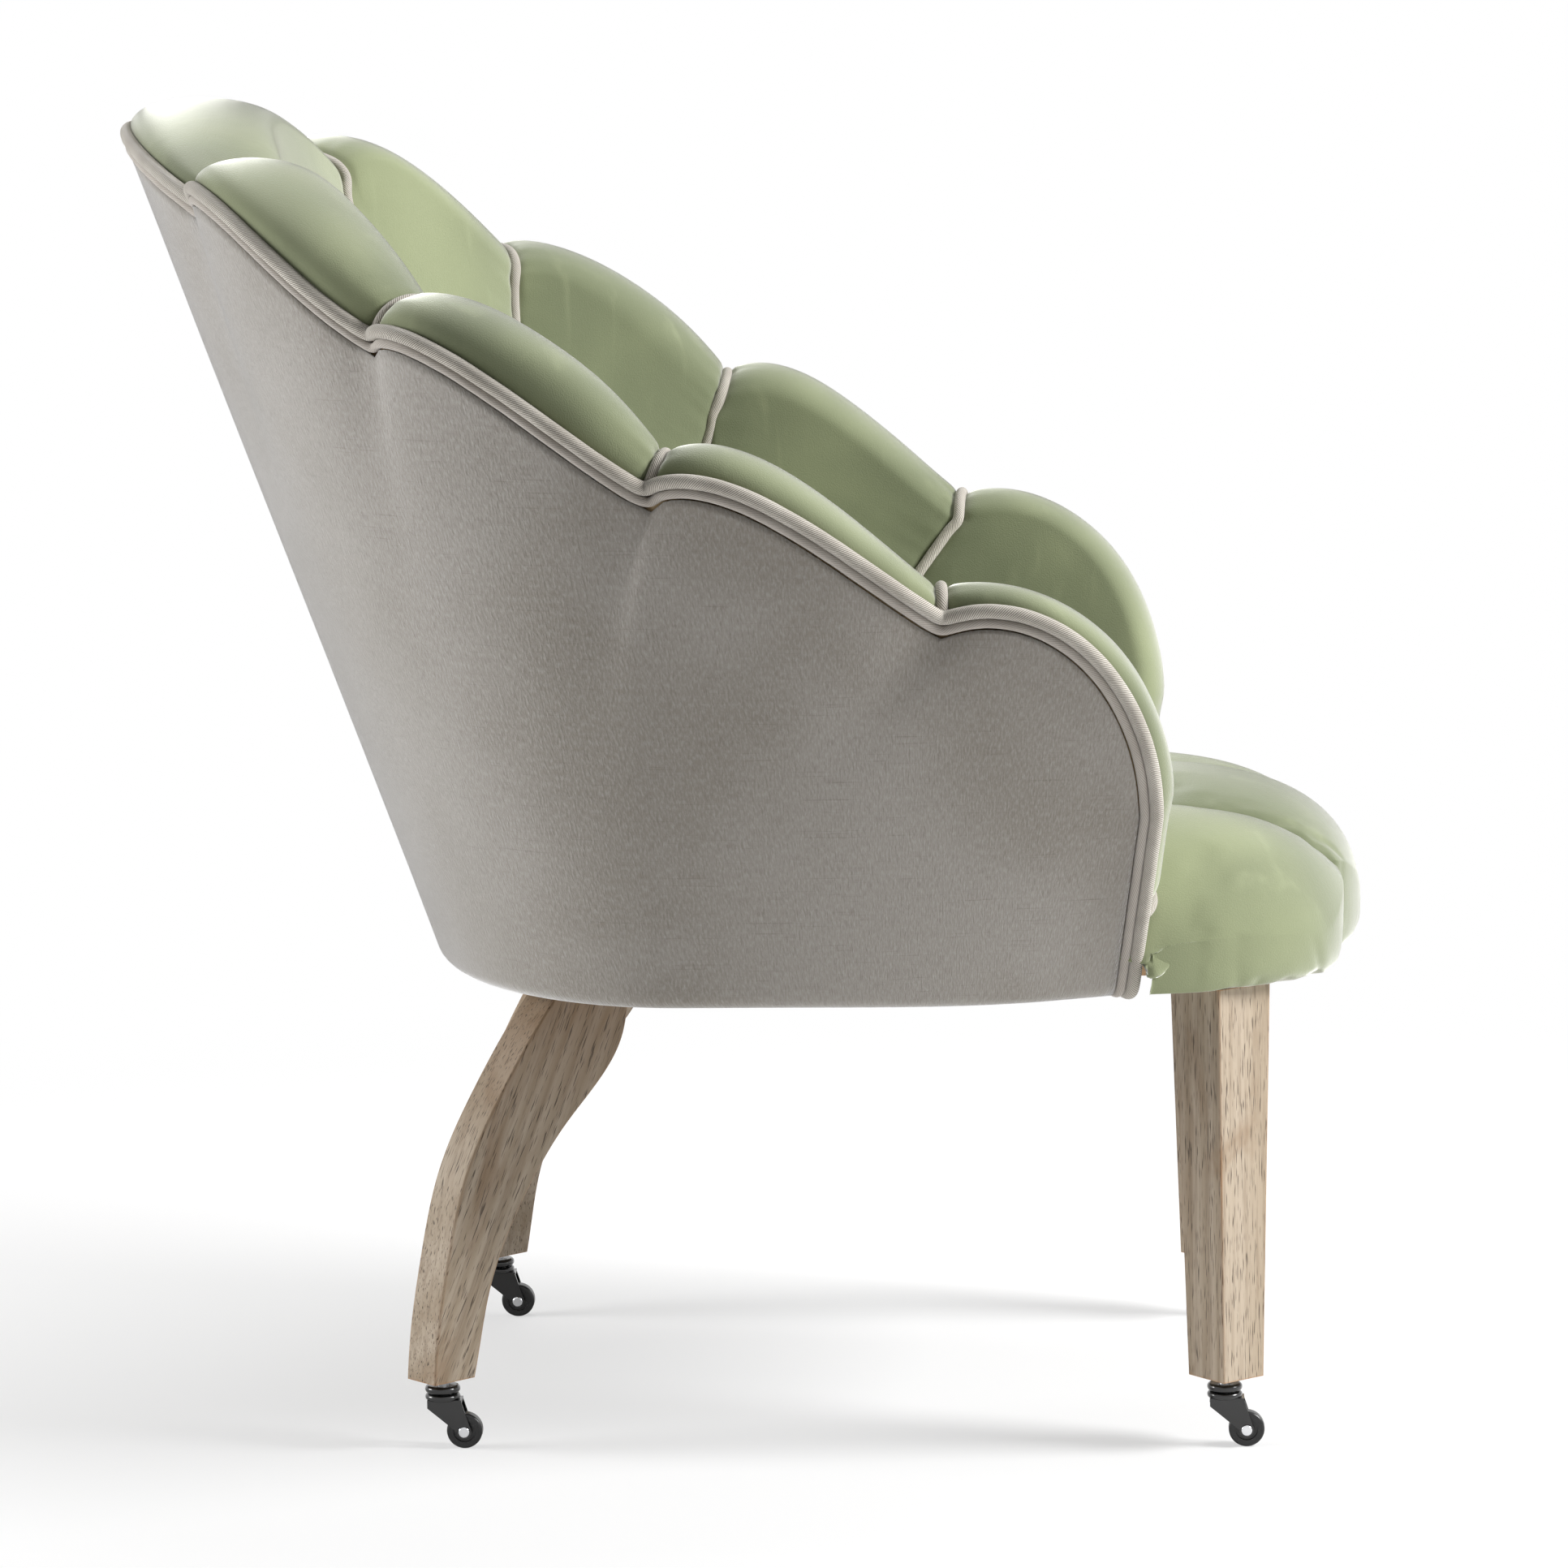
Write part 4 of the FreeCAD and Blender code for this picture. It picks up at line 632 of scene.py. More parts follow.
    def station(self, lobe: int, v: float) -> tuple[float, float]:
        """Plan angle and height of the scalloped edge at a share of a lobe."""
        angles, heights = self.notch_angles, self.notch_heights
        if lobe == 0:
            return mix(-angles[0], angles[0], v), heights[0] + self.scallop_rises[0] * 4 * v * (1 - v)
        if lobe == self.arm:
            if v < self.arch_run:
                turn = mix(self.arch_start, math.pi / 2, v / self.arch_run)
                z = self.shoulder_z + self.arch_rise * math.cos(turn)
                y = self.arch_y - self.arch_depth * math.sin(turn)
                return min(self.angle_at(y, z), self.arm_front_angle), z
            down = (v - self.arch_run) / (1 - self.arch_run)
            return self.arm_front_angle, mix(self.shoulder_z, self.arm_foot_z, down)
        rise = max(math.sin(math.pi * v ** self.scallop_lean), 0.0) ** 1.2
        z = mix(heights[lobe - 1], heights[lobe], v) + self.scallop_rises[lobe] * rise
        return mix(angles[lobe - 1], angles[lobe], v), z

    def foot(self, lobe: int, v: float) -> tuple[float, float]:
        """Plan angle and height of a flute's lower end."""
        if lobe == 0:
            return mix(-self.foot_angles[0], self.foot_angles[0], v), self.foot_z
        if lobe == self.arm:
            corner = self.arm_foot_shares[-2]
            drop = max((v - corner) / (1 - corner), 0.0)
            angle = lookup(v, self.arm_foot_shares, self.arm_foot_angles)
            return angle, mix(self.foot_z, self.arm_foot_z, drop)
        return mix(self.foot_angles[lobe - 1], self.foot_angles[lobe], v), self.foot_z

    def between(self, values: Sequence[float], front: float, lobe: int, v: float) -> float:
        """Value between a lobe's two seams."""
        if lobe == 0:
            return values[0]
        return mix(values[lobe - 1], front if lobe == self.arm else values[lobe], v)

    def inset(self, lobe: int, v: float, z: float) -> float:
        """The notch's dent at a height: it dies out down the wall."""
        share = (z - self.foot_z) / max(self.station(lobe, v)[1] - self.foot_z, 1.0)
        return self.dent(lobe, v) * min(max(share, 0.0), 1.0) ** 1.5

    def roll_axes(self, lobe: int, v: float) -> tuple[Vector, Vector]:
        """Outward direction, and the direction in which the roll rises above the edge."""
        angle, z = self.station(lobe, v)
        out = self.outward(angle, z)
        up = (self.face(angle, z + 1) - self.face(angle, z - 1)).normalized()
        ahead = up.cross(out).normalized()
        if ahead.y > 0:
            ahead = -ahead
        if lobe == 0:
            return out, up
        lean = min(v / self.arch_run, 1.0) * 90 if lobe == self.arm else lookup(angle, self.notch_angles,
            self.seam_leans)
        lean = math.radians(lean)
        return out, up * math.cos(lean) + ahead * math.sin(lean)

    def edge_normal(self, lobe: int, v: float) -> Vector:
        """Direction up from the scalloped edge, square to it, in the outside face."""
        ends = []
        for near in (max(v - 0.01, 0.0), min(v + 0.01, 1.0)):
            angle, z = self.station(lobe, near)
            ends.append(self.wall(angle, z, self.dent(lobe, near)))
        return (ends[1] - ends[0]).cross(self.outward(*self.station(lobe, v))).normalized()

    def below(self, lobe: int, v: float, depth: float, drop: float) -> Vector:
        """Point in from the outside face and square below the edge, mitred at the notches."""
        angle, z = self.station(lobe, v)
        normal = self.edge_normal(lobe, v)
        other = normal
        if lobe and v < 0.001:
            other = self.edge_normal(lobe - 1, 1.0)
        elif lobe < self.arm and v > 0.999:
            other = self.edge_normal(lobe + 1, 0.0)
        elif lobe == 0 and v < 0.001:
            other = self.edge_normal(1, 0.0)
            other = Vector((-other.x, other.y, other.z))
        mitre = (normal + other).normalized()
        return self.wall(angle, z, self.dent(lobe, v) + depth) - mitre * (drop / max(mitre.dot(normal), 0.5))

    def roll_height(self, lobe: int, v: float) -> float:
        """How far the roll stands above the edge."""
        if lobe == self.arm:
            share = 1.0 if v > 0.3 else max(math.sin(math.pi * v / 0.6), 0.0)
        else:
            share = max(math.sin(math.pi * v ** (2.0 if lobe else 1.0)), 0.0)
        return self.between(self.seam_rolls, self.arm_front_roll, lobe,
            v) + self.lobe_rolls[lobe] * share ** 0.9

    def velvet(self, lobe: int, v: float, w: float, lip: float = 0.0, tuck: float = 0.0) -> Vector:
        """Point of a flute's velvet.

        Args:
            lobe: which flute.
            v: share across it, from seam to seam.
            w: 0 to 1 over the roll from the outside, then 1 to 2 down the inside.
            lip: depth behind the piping at which the velvet starts.
            tuck: how far a seam pulls the velvet in here.

        Returns:
            The point in millimetres.
        """
        angle, z = self.station(lobe, v)
        seam = self.between(self.seam_depths, self.arm_front_depth, lobe, v)
        extra = self.lobe_depths[lobe] * (1.0 if lobe == self.arm and v > 0.3 else self.pillow(v))
        if w <= 1:
            out, up = self.roll_axes(lobe, v)
            turn = math.pi * w
            inward = lip + (seam + extra - lip) / 2 * (1 - math.cos(turn))
            height = self.roll_height(lobe, v) * max(math.sin(turn), 0.0) ** 0.9
            edge = self.face(angle, z) - out * self.dent(lobe, v)
            point = edge - out * inward + up * height
            if tuck:
                heart = edge - out * ((seam + extra) / 2)
                point += (heart - point).normalized() * tuck
            return point
        foot_angle, foot_z = self.foot(lobe, v)
        down = w - 1
        here, height = mix(angle, foot_angle, down), mix(z, foot_z, down)
        depth = mix(seam, min(self.foot_seam_depth, seam), down) + extra * (1 - 0.5 * down)
        return self.wall(here, height, depth - tuck + self.inset(lobe, v, height))

    def backing(self, lobe: int, v: float, w: float) -> Vector:
        """Point of a flute's back, down the plywood's inside."""
        angle, z = self.station(lobe, v)
        foot_angle, foot_z = self.foot(lobe, v)
        down = max(w - 1, 0.0)
        height = mix(z, foot_z, down)
        depth = self.backing_depth + self.inset(lobe, v, height)
        return self.wall(mix(angle, foot_angle, down), height, depth)


# Cloth

@dataclass
class Stuffing:
    """Cloth simulation that fills sewn velvet: its seams are held and the faces between them swell."""

    frames: int = 20
    pressure: float = 4.0
    spare: float = -0.015
    cap: float = 6.0
    pieces: list[bpy.types.Object] = field(default_factory=list)

    def take(self, piece: bpy.types.Object, held: np.ndarray) -> None:
        """Prepare a piece, with a share from 0 to 1 by which each of its points is held."""
        group = piece.vertex_groups.new(name="sewn")
        for i in np.nonzero(held > 0.001)[0]:
            group.add([int(i)], float(held[i]), "REPLACE")
        self.pieces.append(piece)

    def fill(self) -> None:
        """Run the simulation on all pieces at once, cap how far points move, and leave plain meshes."""
        if not self.pieces:
            return
        for piece in self.pieces:
            cloth = piece.modifiers.new("velvet", "CLOTH")
            cloth.point_cache.frame_start = 1
            cloth.point_cache.frame_end = self.frames
            settings = cloth.settings
            settings.quality = 5
            settings.mass = 0.3
            settings.tension_stiffness = 15.0
            settings.compression_stiffness = 15.0
            settings.shear_stiffness = 5.0
            settings.bending_stiffness = 0.6
            settings.use_pressure = True
            settings.uniform_pressure_force = self.pressure
            settings.shrink_min = self.spare
            settings.vertex_group_mass = "sewn"
            settings.effector_weights.gravity = 0.0
            cloth.collision_settings.use_collision = False
        scene = bpy.context.scene
        for moment in range(1, self.frames + 1):
            scene.frame_set(moment)
        graph = bpy.context.evaluated_depsgraph_get()
        for piece in self.pieces:
            swollen = coordinates(piece.evaluated_get(graph).data)
            rest = coordinates(piece.data)
            move = swollen - rest
            length = np.linalg.norm(move, axis=1, keepdims=True)
            cap = self.cap * MM
            move *= cap * np.tanh(length / cap) / np.maximum(length, 1e-9)
            piece.modifiers.clear()
            place_points(piece.data, rest + move)
            LOG.info("%s swelled by up to %.1f mm", piece.name, float(length.max()) / MM)
        scene.frame_set(1)


def coordinates(mesh: bpy.types.Mesh) -> np.ndarray:
    """Vertex coordinates as an array."""
    points = np.zeros(len(mesh.vertices) * 3, np.float32)
    mesh.vertices.foreach_get("co", points)
    return points.reshape(-1, 3).astype(float)


def normals(mesh: bpy.types.Mesh) -> np.ndarray:
    """Vertex normals as an array."""
    values = np.zeros(len(mesh.vertices) * 3, np.float32)
    mesh.vertex_normals.foreach_get("vector", values)
    return values.reshape(-1, 3).astype(float)


def place_points(mesh: bpy.types.Mesh, points: np.ndarray) -> None:
    """Set a mesh's vertex coordinates."""
    mesh.vertices.foreach_set("co", points.astype(np.float32).ravel())
    mesh.update()


def attribute(mesh: bpy.types.Mesh, name: str) -> np.ndarray:
    """Values of a float attribute of a mesh's points."""
    values = np.zeros(len(mesh.vertices), np.float32)
    mesh.attributes[name].data.foreach_get("value", values)
    return values.astype(float)


def cleaned(mesh: bpy.types.Mesh, merge: float) -> None:
    """Merge points within a distance in millimetres, where there is one, and turn the faces outwards."""
    shell = bmesh.new()
    shell.from_mesh(mesh)
    if merge:
        bmesh.ops.remove_doubles(shell, verts=shell.verts, dist=merge * MM)
    bmesh.ops.recalc_face_normals(shell, faces=shell.faces)
    shell.to_mesh(mesh)
    shell.free()


def unmarked(mesh: bpy.types.Mesh) -> None:
    """Remove the attributes that only the shaping reads."""
    for key in ("seam", "run"):
        mesh.attributes.remove(mesh.attributes[key])


def closed_form(name: str, front: Rows, back: Rows, marks: dict[str, list[list[float]]],
        merge: float = 0.0) -> bpy.types.Object:
    """Closed mesh between two grids of points with the same rows and columns.

    Args:
        name: the object's name.
        front: rows of points of the outer face, in millimetres.
        back: rows of points of the inner face.
        marks: values to keep on the outer face's points, as attributes; inner points get 0.
        merge: distance in millimetres within which points are merged.

    Returns:
        The new object.
    """
    rows, columns = len(front), len(front[0])
    points = [p * MM for row in front for p in row] + [p * MM for row in back for p in row]
    behind = rows * columns
    faces = []
    for i in range(rows - 1):
        for j in range(columns - 1):
            a = i * columns + j
            quad = (a, a + 1, a + 1 + columns, a + columns)
            faces.append(quad)
            faces.append(tuple(behind + k for k in reversed(quad)))
    ring = list(range(columns)) + [i * columns + columns - 1 for i in range(1, rows)]
    ring += [(rows - 1) * columns + j for j in range(columns - 2, -1, -1)]
    ring += [i * columns for i in range(rows - 2, 0, -1)]
    for a, b in zip(ring, ring[1:] + ring[:1]):
        faces.append((b, a, behind + a, behind + b))
    mesh = bpy.data.meshes.new(name)
    mesh.from_pydata(points, [], faces)
    for key, values in marks.items():
        flat = [x for row in values for x in row] + [0.0] * behind
        mesh.attributes.new(key, "FLOAT", "POINT").data.foreach_set("value", flat)
    cleaned(mesh, merge)
    mesh.validate()
    return new_object(name, mesh)


def refined(piece: bpy.types.Object) -> None:
    """Apply one level of subdivision."""
    modifier = piece.modifiers.new("smooth", "SUBSURF")
    modifier.levels = 1
    modifier.render_levels = 1
    baked(piece)
    piece.data.shade_smooth()


@dataclass
class Flutes:
    """The nine velvet flutes of the back and arms, each a stuffed form sewn between its seams."""

    barrel: Barrel
    stuffing: Stuffing
    velvet: bpy.types.Material
    columns: int = 45
    roll_rows: int = 30
    inside_rows: int = 64
    lip: float = 2.5
    seam_tuck: float = 4.5
    seam_reach: float = 3.2
    roll_end_z: tuple[float, float] = (368.0, 398.0)
    pucker: float = 0.55
    pucker_reach: float = 16.0
    held_reach: float = 4.0
    free_from: float = 12.0
    turned_in: tuple[float, float] = (5.0, 3.0)
    end_fade: tuple[float, float] = (8.0, 10.0)
    made: list[tuple[bpy.types.Object, str]] = field(default_factory=list)

    names = ("centre", "back", "rear_side", "front_side", "arm")

    def point(self, lobe: int, v: float, w: float, width: float) -> tuple[Vector, float]:
        """Point of the visible velvet, and its distance from the nearest seam in millimetres."""
        seam = v * width if lobe == self.barrel.arm else min(v, 1 - v) * width
        tuck = self.seam_tuck * math.exp(-(seam / self.seam_reach) ** 2)
        place = self.barrel.velvet(lobe, v, w, self.lip, tuck)
        if lobe == self.barrel.arm and v > self.barrel.arch_run and w <= 1:
            angle, z = self.barrel.station(lobe, v)
            line = mix(*self.roll_end_z, w)
            fade = 1 - smooth_step(line - self.end_fade[0], line + self.end_fade[1], z)
            out, up = self.barrel.roll_axes(lobe, v)
            lift = self.barrel.roll_height(lobe, v) * max(math.sin(math.pi * w), 0.0) ** 0.9
            place -= up * (lift * fade)
        return place, seam

    def build(self, lobe: int, side: Side) -> None:
        """Make one flute, ready for its stuffing."""
        barrel = self.barrel
        vs = crowded(self.columns)
        ws = [-1.0] + crowded(self.roll_rows, 0.3) + [1 + t for t in shares(self.inside_rows)[1:]]
        front, back, seams, runs = [], [], [], []
        run, last = 0.0, None
        for w in ws:
            here = max(w, 0.0)
            width = (barrel.velvet(lobe, 0.3, here) - barrel.velvet(lobe, 0.0, here)).length / 0.3
            line = [self.point(lobe, v, here, width) for v in vs]
            if w < 0:
                axes = [barrel.roll_axes(lobe, v) for v in vs]
                line = [(p - up * self.turned_in[0] - out * self.turned_in[1], s) for (p, s), (out,
                    up) in zip(line, axes)]
            front.append([p for p, _ in line])
            seams.append([s for _, s in line])
            middle = front[-1][self.columns // 2]
            run += (middle - last).length if last else 0.0
            last = middle
            runs.append([run] * self.columns)
            back.append([barrel.backing(lobe, v, here) for v in vs])
        front, back = [[sided(row, side.value) for row in grid] for grid in (front, back)]
        own = f"{side.name.lower()}_{self.names[lobe]}" if lobe else "centre"
        piece = closed_form(f"{own}_velvet_flute", front, back, {"seam": seams, "run": runs})
        held = np.ones(len(piece.data.vertices))
        for i in range(2, len(ws) - 1):
            for j in range(1, self.columns - 1):
                seam = seams[i][j]
                share = math.exp(-(seam / self.held_reach) ** 2) if seam < self.free_from else 0.0
                held[i * self.columns + j] = share
        self.stuffing.take(piece, held)
        self.made.append((piece, f"{own}_flute" if lobe else "back_centre_flute"))

    def finish(self) -> None:
        """Smooth the filled flutes, pucker their seams and dress them."""
        for number, (piece, node) in enumerate(self.made):
            refined(piece)
            mesh = piece.data
            seam, run = attribute(mesh, "seam"), attribute(mesh, "run")
            points = coordinates(mesh)
            soft = np.array([noise.noise(Vector(p) * 14 + Vector((number, 0, 0))) for p in points])
            spots = [Vector((r / 11.0, s / 60.0, number * 3.7)) for r, s in zip(run, seam)]
            wave = np.array([noise.noise(spot) for spot in spots])
            near = np.exp(-seam / self.pucker_reach) * np.clip(seam / 3.0, 0, 1)
            lift = (wave * near * self.pucker * 2 + soft * 0.9 * (seam > 0)) * MM
            place_points(mesh, points + normals(mesh) * lift[:, None])
            unmarked(mesh)
            finished(piece, self.velvet, [node])


@dataclass
class SeatPad:
    """The three velvet lobes of the seat: a deck that rolls down over the front and tucks under it."""

    barrel: Barrel
    stuffing: Stuffing
    velvet: bpy.types.Material
    half_width: float = 232.0
    centre_y: float = -200.0
    reach: float = 217.0
    roundness: float = 3.0
    crest_z: float = 431.0
    nose_z: float = 342.0
    crown: float = 4.5
    foot_z: float = 313.5
    lobe_width: float = 166.0
    seam_sink: float = 17.0
    nose_sink: float = 20.0
    seam_reach: float = 5.0
    ear_y: float = -272.0
    back_y: float = 105.0
    pad_foot_z: float = 392.0
    depth: float = 14.0
    under_share: float = 0.8
    edge_share: float = 0.96
    arm_share: float = 0.62
    ear_x: float = 229.0
    ear_turn: float = 82.0
    columns: int = 56
    deck_rows: int = 34
    front_rows: int = 22
    roll_rows: int = 10
    under_rows: int = 4
    heart_pull: float = 0.88
    held_reach: float = 6.0
    held_row: int = 63
    held_x: float = 200.0
    held_y: float = -305.0
    seam_line: float = 3.0
    uneven: float = 1.3
    pleat_turns: tuple[int, int, int] = (-58, 59, 13)
    pleat_top_z: float = 352.0
    pleat_rise: float = 34.0
    pleat_width: float = 0.95
    made: list[tuple[bpy.types.Object, str]] = field(default_factory=list)

    def share(self, x: float, y: float) -> float:
        """How far a point lies towards the front edge, 0 to 1."""
        ahead = max(self.centre_y - y, 0.0) / self.reach
        total = (abs(x) / self.half_width) ** self.roundness + ahead ** self.roundness
        return total ** (1 / self.roundness)

    def top(self, x: float, y: float) -> float:
        """Height of the velvet over the deck and front."""
        share = min(self.share(x, y), 1.0)
        crown = (1 - share ** self.crown) ** (0.5 + 0.15 * (x / self.half_width) ** 2)
        across = (abs(x) / self.lobe_width + 0.5) % 1.0
        sink = self.seam_sink * (1 - self.barrel.pillow(across, 2.0)) * min(crown * 1.5, 1.0)
        return self.nose_z + (self.crest_z - self.nose_z) * crown - sink

    def front_point(self, x: float, y: float, share: float) -> tuple[float, float]:
        """Plan point at a share of the way out, on the ray to a point of the front edge."""
        return x * mix(1.0, share, 0.35), self.centre_y + (y - self.centre_y) * share

    def valley(self, x: float) -> float:
        """How far the seams between lobes pull the front in at an X."""
        across = (abs(x) / self.lobe_width + 0.5) % 1.0
        part = 1 if abs(x) < self.lobe_width else 0.5
        return self.nose_sink * (1 - self.barrel.pillow(across, 2.0)) * part

    def arc(self, x: float) -> float:
        """Y of the front edge at an X."""
        rest = max(1 - (abs(x) / self.half_width) ** self.roundness, 0.0)
        return self.centre_y - self.reach * rest ** (1 / self.roundness)

    def arm_x(self, y: float) -> float:
        """X of the arm's and wall's inner face beside the seat."""
        best = self.half_width
        for lobe in range(1, 5):
            for v in shares(9):
                p = self.barrel.velvet(lobe, v, 1.85)
                q = self.barrel.velvet(lobe, min(v + 0.125, 1.0), 1.85)
                if (p.y - y) * (q.y - y) <= 0 and p.y != q.y:
                    best = min(best, mix(p.x, q.x, (y - p.y) / (q.y - p.y)))
        return best - 1.5

    def column(self, share: float, near_x: float, far: bool) -> tuple[list[Vector], list[Vector]]:
        """One line of points from the back over the deck and front to the underside, and the one inside it.

        Args:
            share: 0 at the lobe's inner seam, 1 at its outer side.
            near_x: X of the inner seam.
            far: True for a side lobe, which has an ear in front of the arm.

        Returns:
            Points of the velvet and of the inner face.
        """
        outer, inner = [], []
        for t in shares(self.deck_rows):
            y = mix(self.back_y, self.ear_y, t)
            if far:
                x = mix(near_x, self.arm_x(y), min(share / self.arm_share, 1.0))
            else:
                x = mix(-near_x, near_x, share)
            outer.append(Vector((x, y, self.top(x, y))))
            inner.append(Vector((x, y, min(self.pad_foot_z, outer[-1].z - self.depth))))
        if far:
            start_x = outer[-1].x
            if share > self.arm_share:
                start_x = mix(start_x, self.ear_x, (share - self.arm_share) / (1 - self.arm_share))
            turn = mix(math.asin((near_x / self.half_width) ** 1.5), math.radians(self.ear_turn), share)
            front_x = self.half_width * math.sin(turn) ** (2 / 3)
        else:
            start_x = front_x = outer[-1].x
        front_y = min(self.arc(front_x) + self.valley(front_x), self.ear_y - 2)
        for t in shares(self.front_rows)[1:]:
            q = math.sin(math.pi / 2 * t)
            x, y = mix(start_x, front_x, q), mix(self.ear_y, front_y, q)
            outer.append(Vector((x, y, self.top(x, y))))
            heart_x = mix(x, start_x, 0.25 * q) * mix(1.0, 0.92, q)
            heart_z = min(self.pad_foot_z, outer[-1].z - self.depth)
            inner.append(Vector((heart_x, mix(y, self.ear_y - 12, 0.2 * q), heart_z)))
        rolled = [(mix(1.0, self.edge_share, 1 - math.cos(turn)), mix(self.nose_z, self.foot_z,
            math.sin(turn))) for turn in shares(self.roll_rows, 0.0, math.pi / 2)[1:]]
        under = [(mix(self.edge_share, self.under_share, t),
            self.foot_z) for t in shares(self.under_rows)[1:]]
        for way, z in rolled + under:
            x, y = self.front_point(front_x, front_y, way)
            outer.append(Vector((x, min(y, self.ear_y), z)))
            inner.append(Vector((mix(x, start_x, 0.3) * self.heart_pull, min(mix(y, self.ear_y, 0.25),
                self.ear_y - 6), self.nose_z - self.depth)))
        return outer, inner

    def build(self, side: Side | None) -> None:
        """Make one lobe: the centre's where side is None."""
        half = self.lobe_width / 2
        columns = [self.column(u, half, side is not None) for u in crowded(self.columns)]
        front = [list(row) for row in zip(*[outer for outer, _ in columns])]
        back = [list(row) for row in zip(*[inner for _, inner in columns])]
        sign = side.value if side else 1
        front, back = [[sided(row, sign) for row in grid] for grid in (front, back)]
        seams = [[min(abs(abs(p.x) - half), 60.0) for p in row] for row in front]
        runs = [[float(i) for _ in row] for i, row in enumerate(front)]
        own = side.name.lower() if side else "centre"
        piece = closed_form(f"{own}_seat_velvet_lobe", front, back, {"seam": seams, "run": runs}, merge=0.05)
        mesh = piece.data
        seam, run = attribute(mesh, "seam"), attribute(mesh, "run")
        held = np.where(run > 0.5, np.exp(-(seam / self.held_reach) ** 2), 1.0)
        place = coordinates(mesh)
        ear = (np.abs(place[:, 0]) > self.held_x * MM) & (place[:, 1] > self.held_y * MM)
        held = np.maximum(held, np.where((run > self.held_row) | ear, 1.0, 0.0))
        self.stuffing.take(piece, held)
        self.made.append((piece, f"{own}_seat_lobe" if side else "seat_centre_lobe"))

    def finish(self) -> None:
        """Smooth the filled lobes, sink their seams, pleat their lower edge and dress them."""
        for number, (piece, node) in enumerate(self.made):
            refined(piece)
            mesh = piece.data
            seam = attribute(mesh, "seam")
            points = coordinates(mesh)
            soft = np.array([noise.noise(Vector(p) * 12 + Vector((number * 2.0, 5, 0))) for p in points])
            lift = soft * self.uneven - self.seam_line * np.exp(-(seam / self.seam_reach) ** 2)
            lift += self.pleats(points, number)
            place_points(mesh, points + normals(mesh) * (lift * MM)[:, None])
            unmarked(mesh)
            finished(piece, self.velvet, [node])

    def pleats(self, points: np.ndarray, number: int) -> np.ndarray:
        """Sharp folds where the velvet is drawn under the front edge, as lifts in millimetres."""
        luck = random.Random(7 + number)
        turn = np.degrees(np.arctan2(points[:, 0], -(points[:, 1] - self.centre_y * MM)))
        low = np.clip((self.pleat_top_z - points[:, 2] / MM) / self.pleat_rise, 0, 1)
        front = (points[:, 1] < -0.3).astype(float)
        lift = np.zeros(len(points))
        for centre in range(*self.pleat_turns):
            middle = centre + luck.uniform(-4.5, 4.5)
            slant = luck.uniform(-4.0, 4.0)
            depth = luck.uniform(0.3, 2.4)
            off = turn - middle - slant * (1 - low)
            lift -= depth * np.exp(-(off / self.pleat_width) ** 2) * low ** 1.5 * front
            lift += 0.5 * depth * np.exp(-((off - 2.4) / 1.8) ** 2) * low * front
        return lift


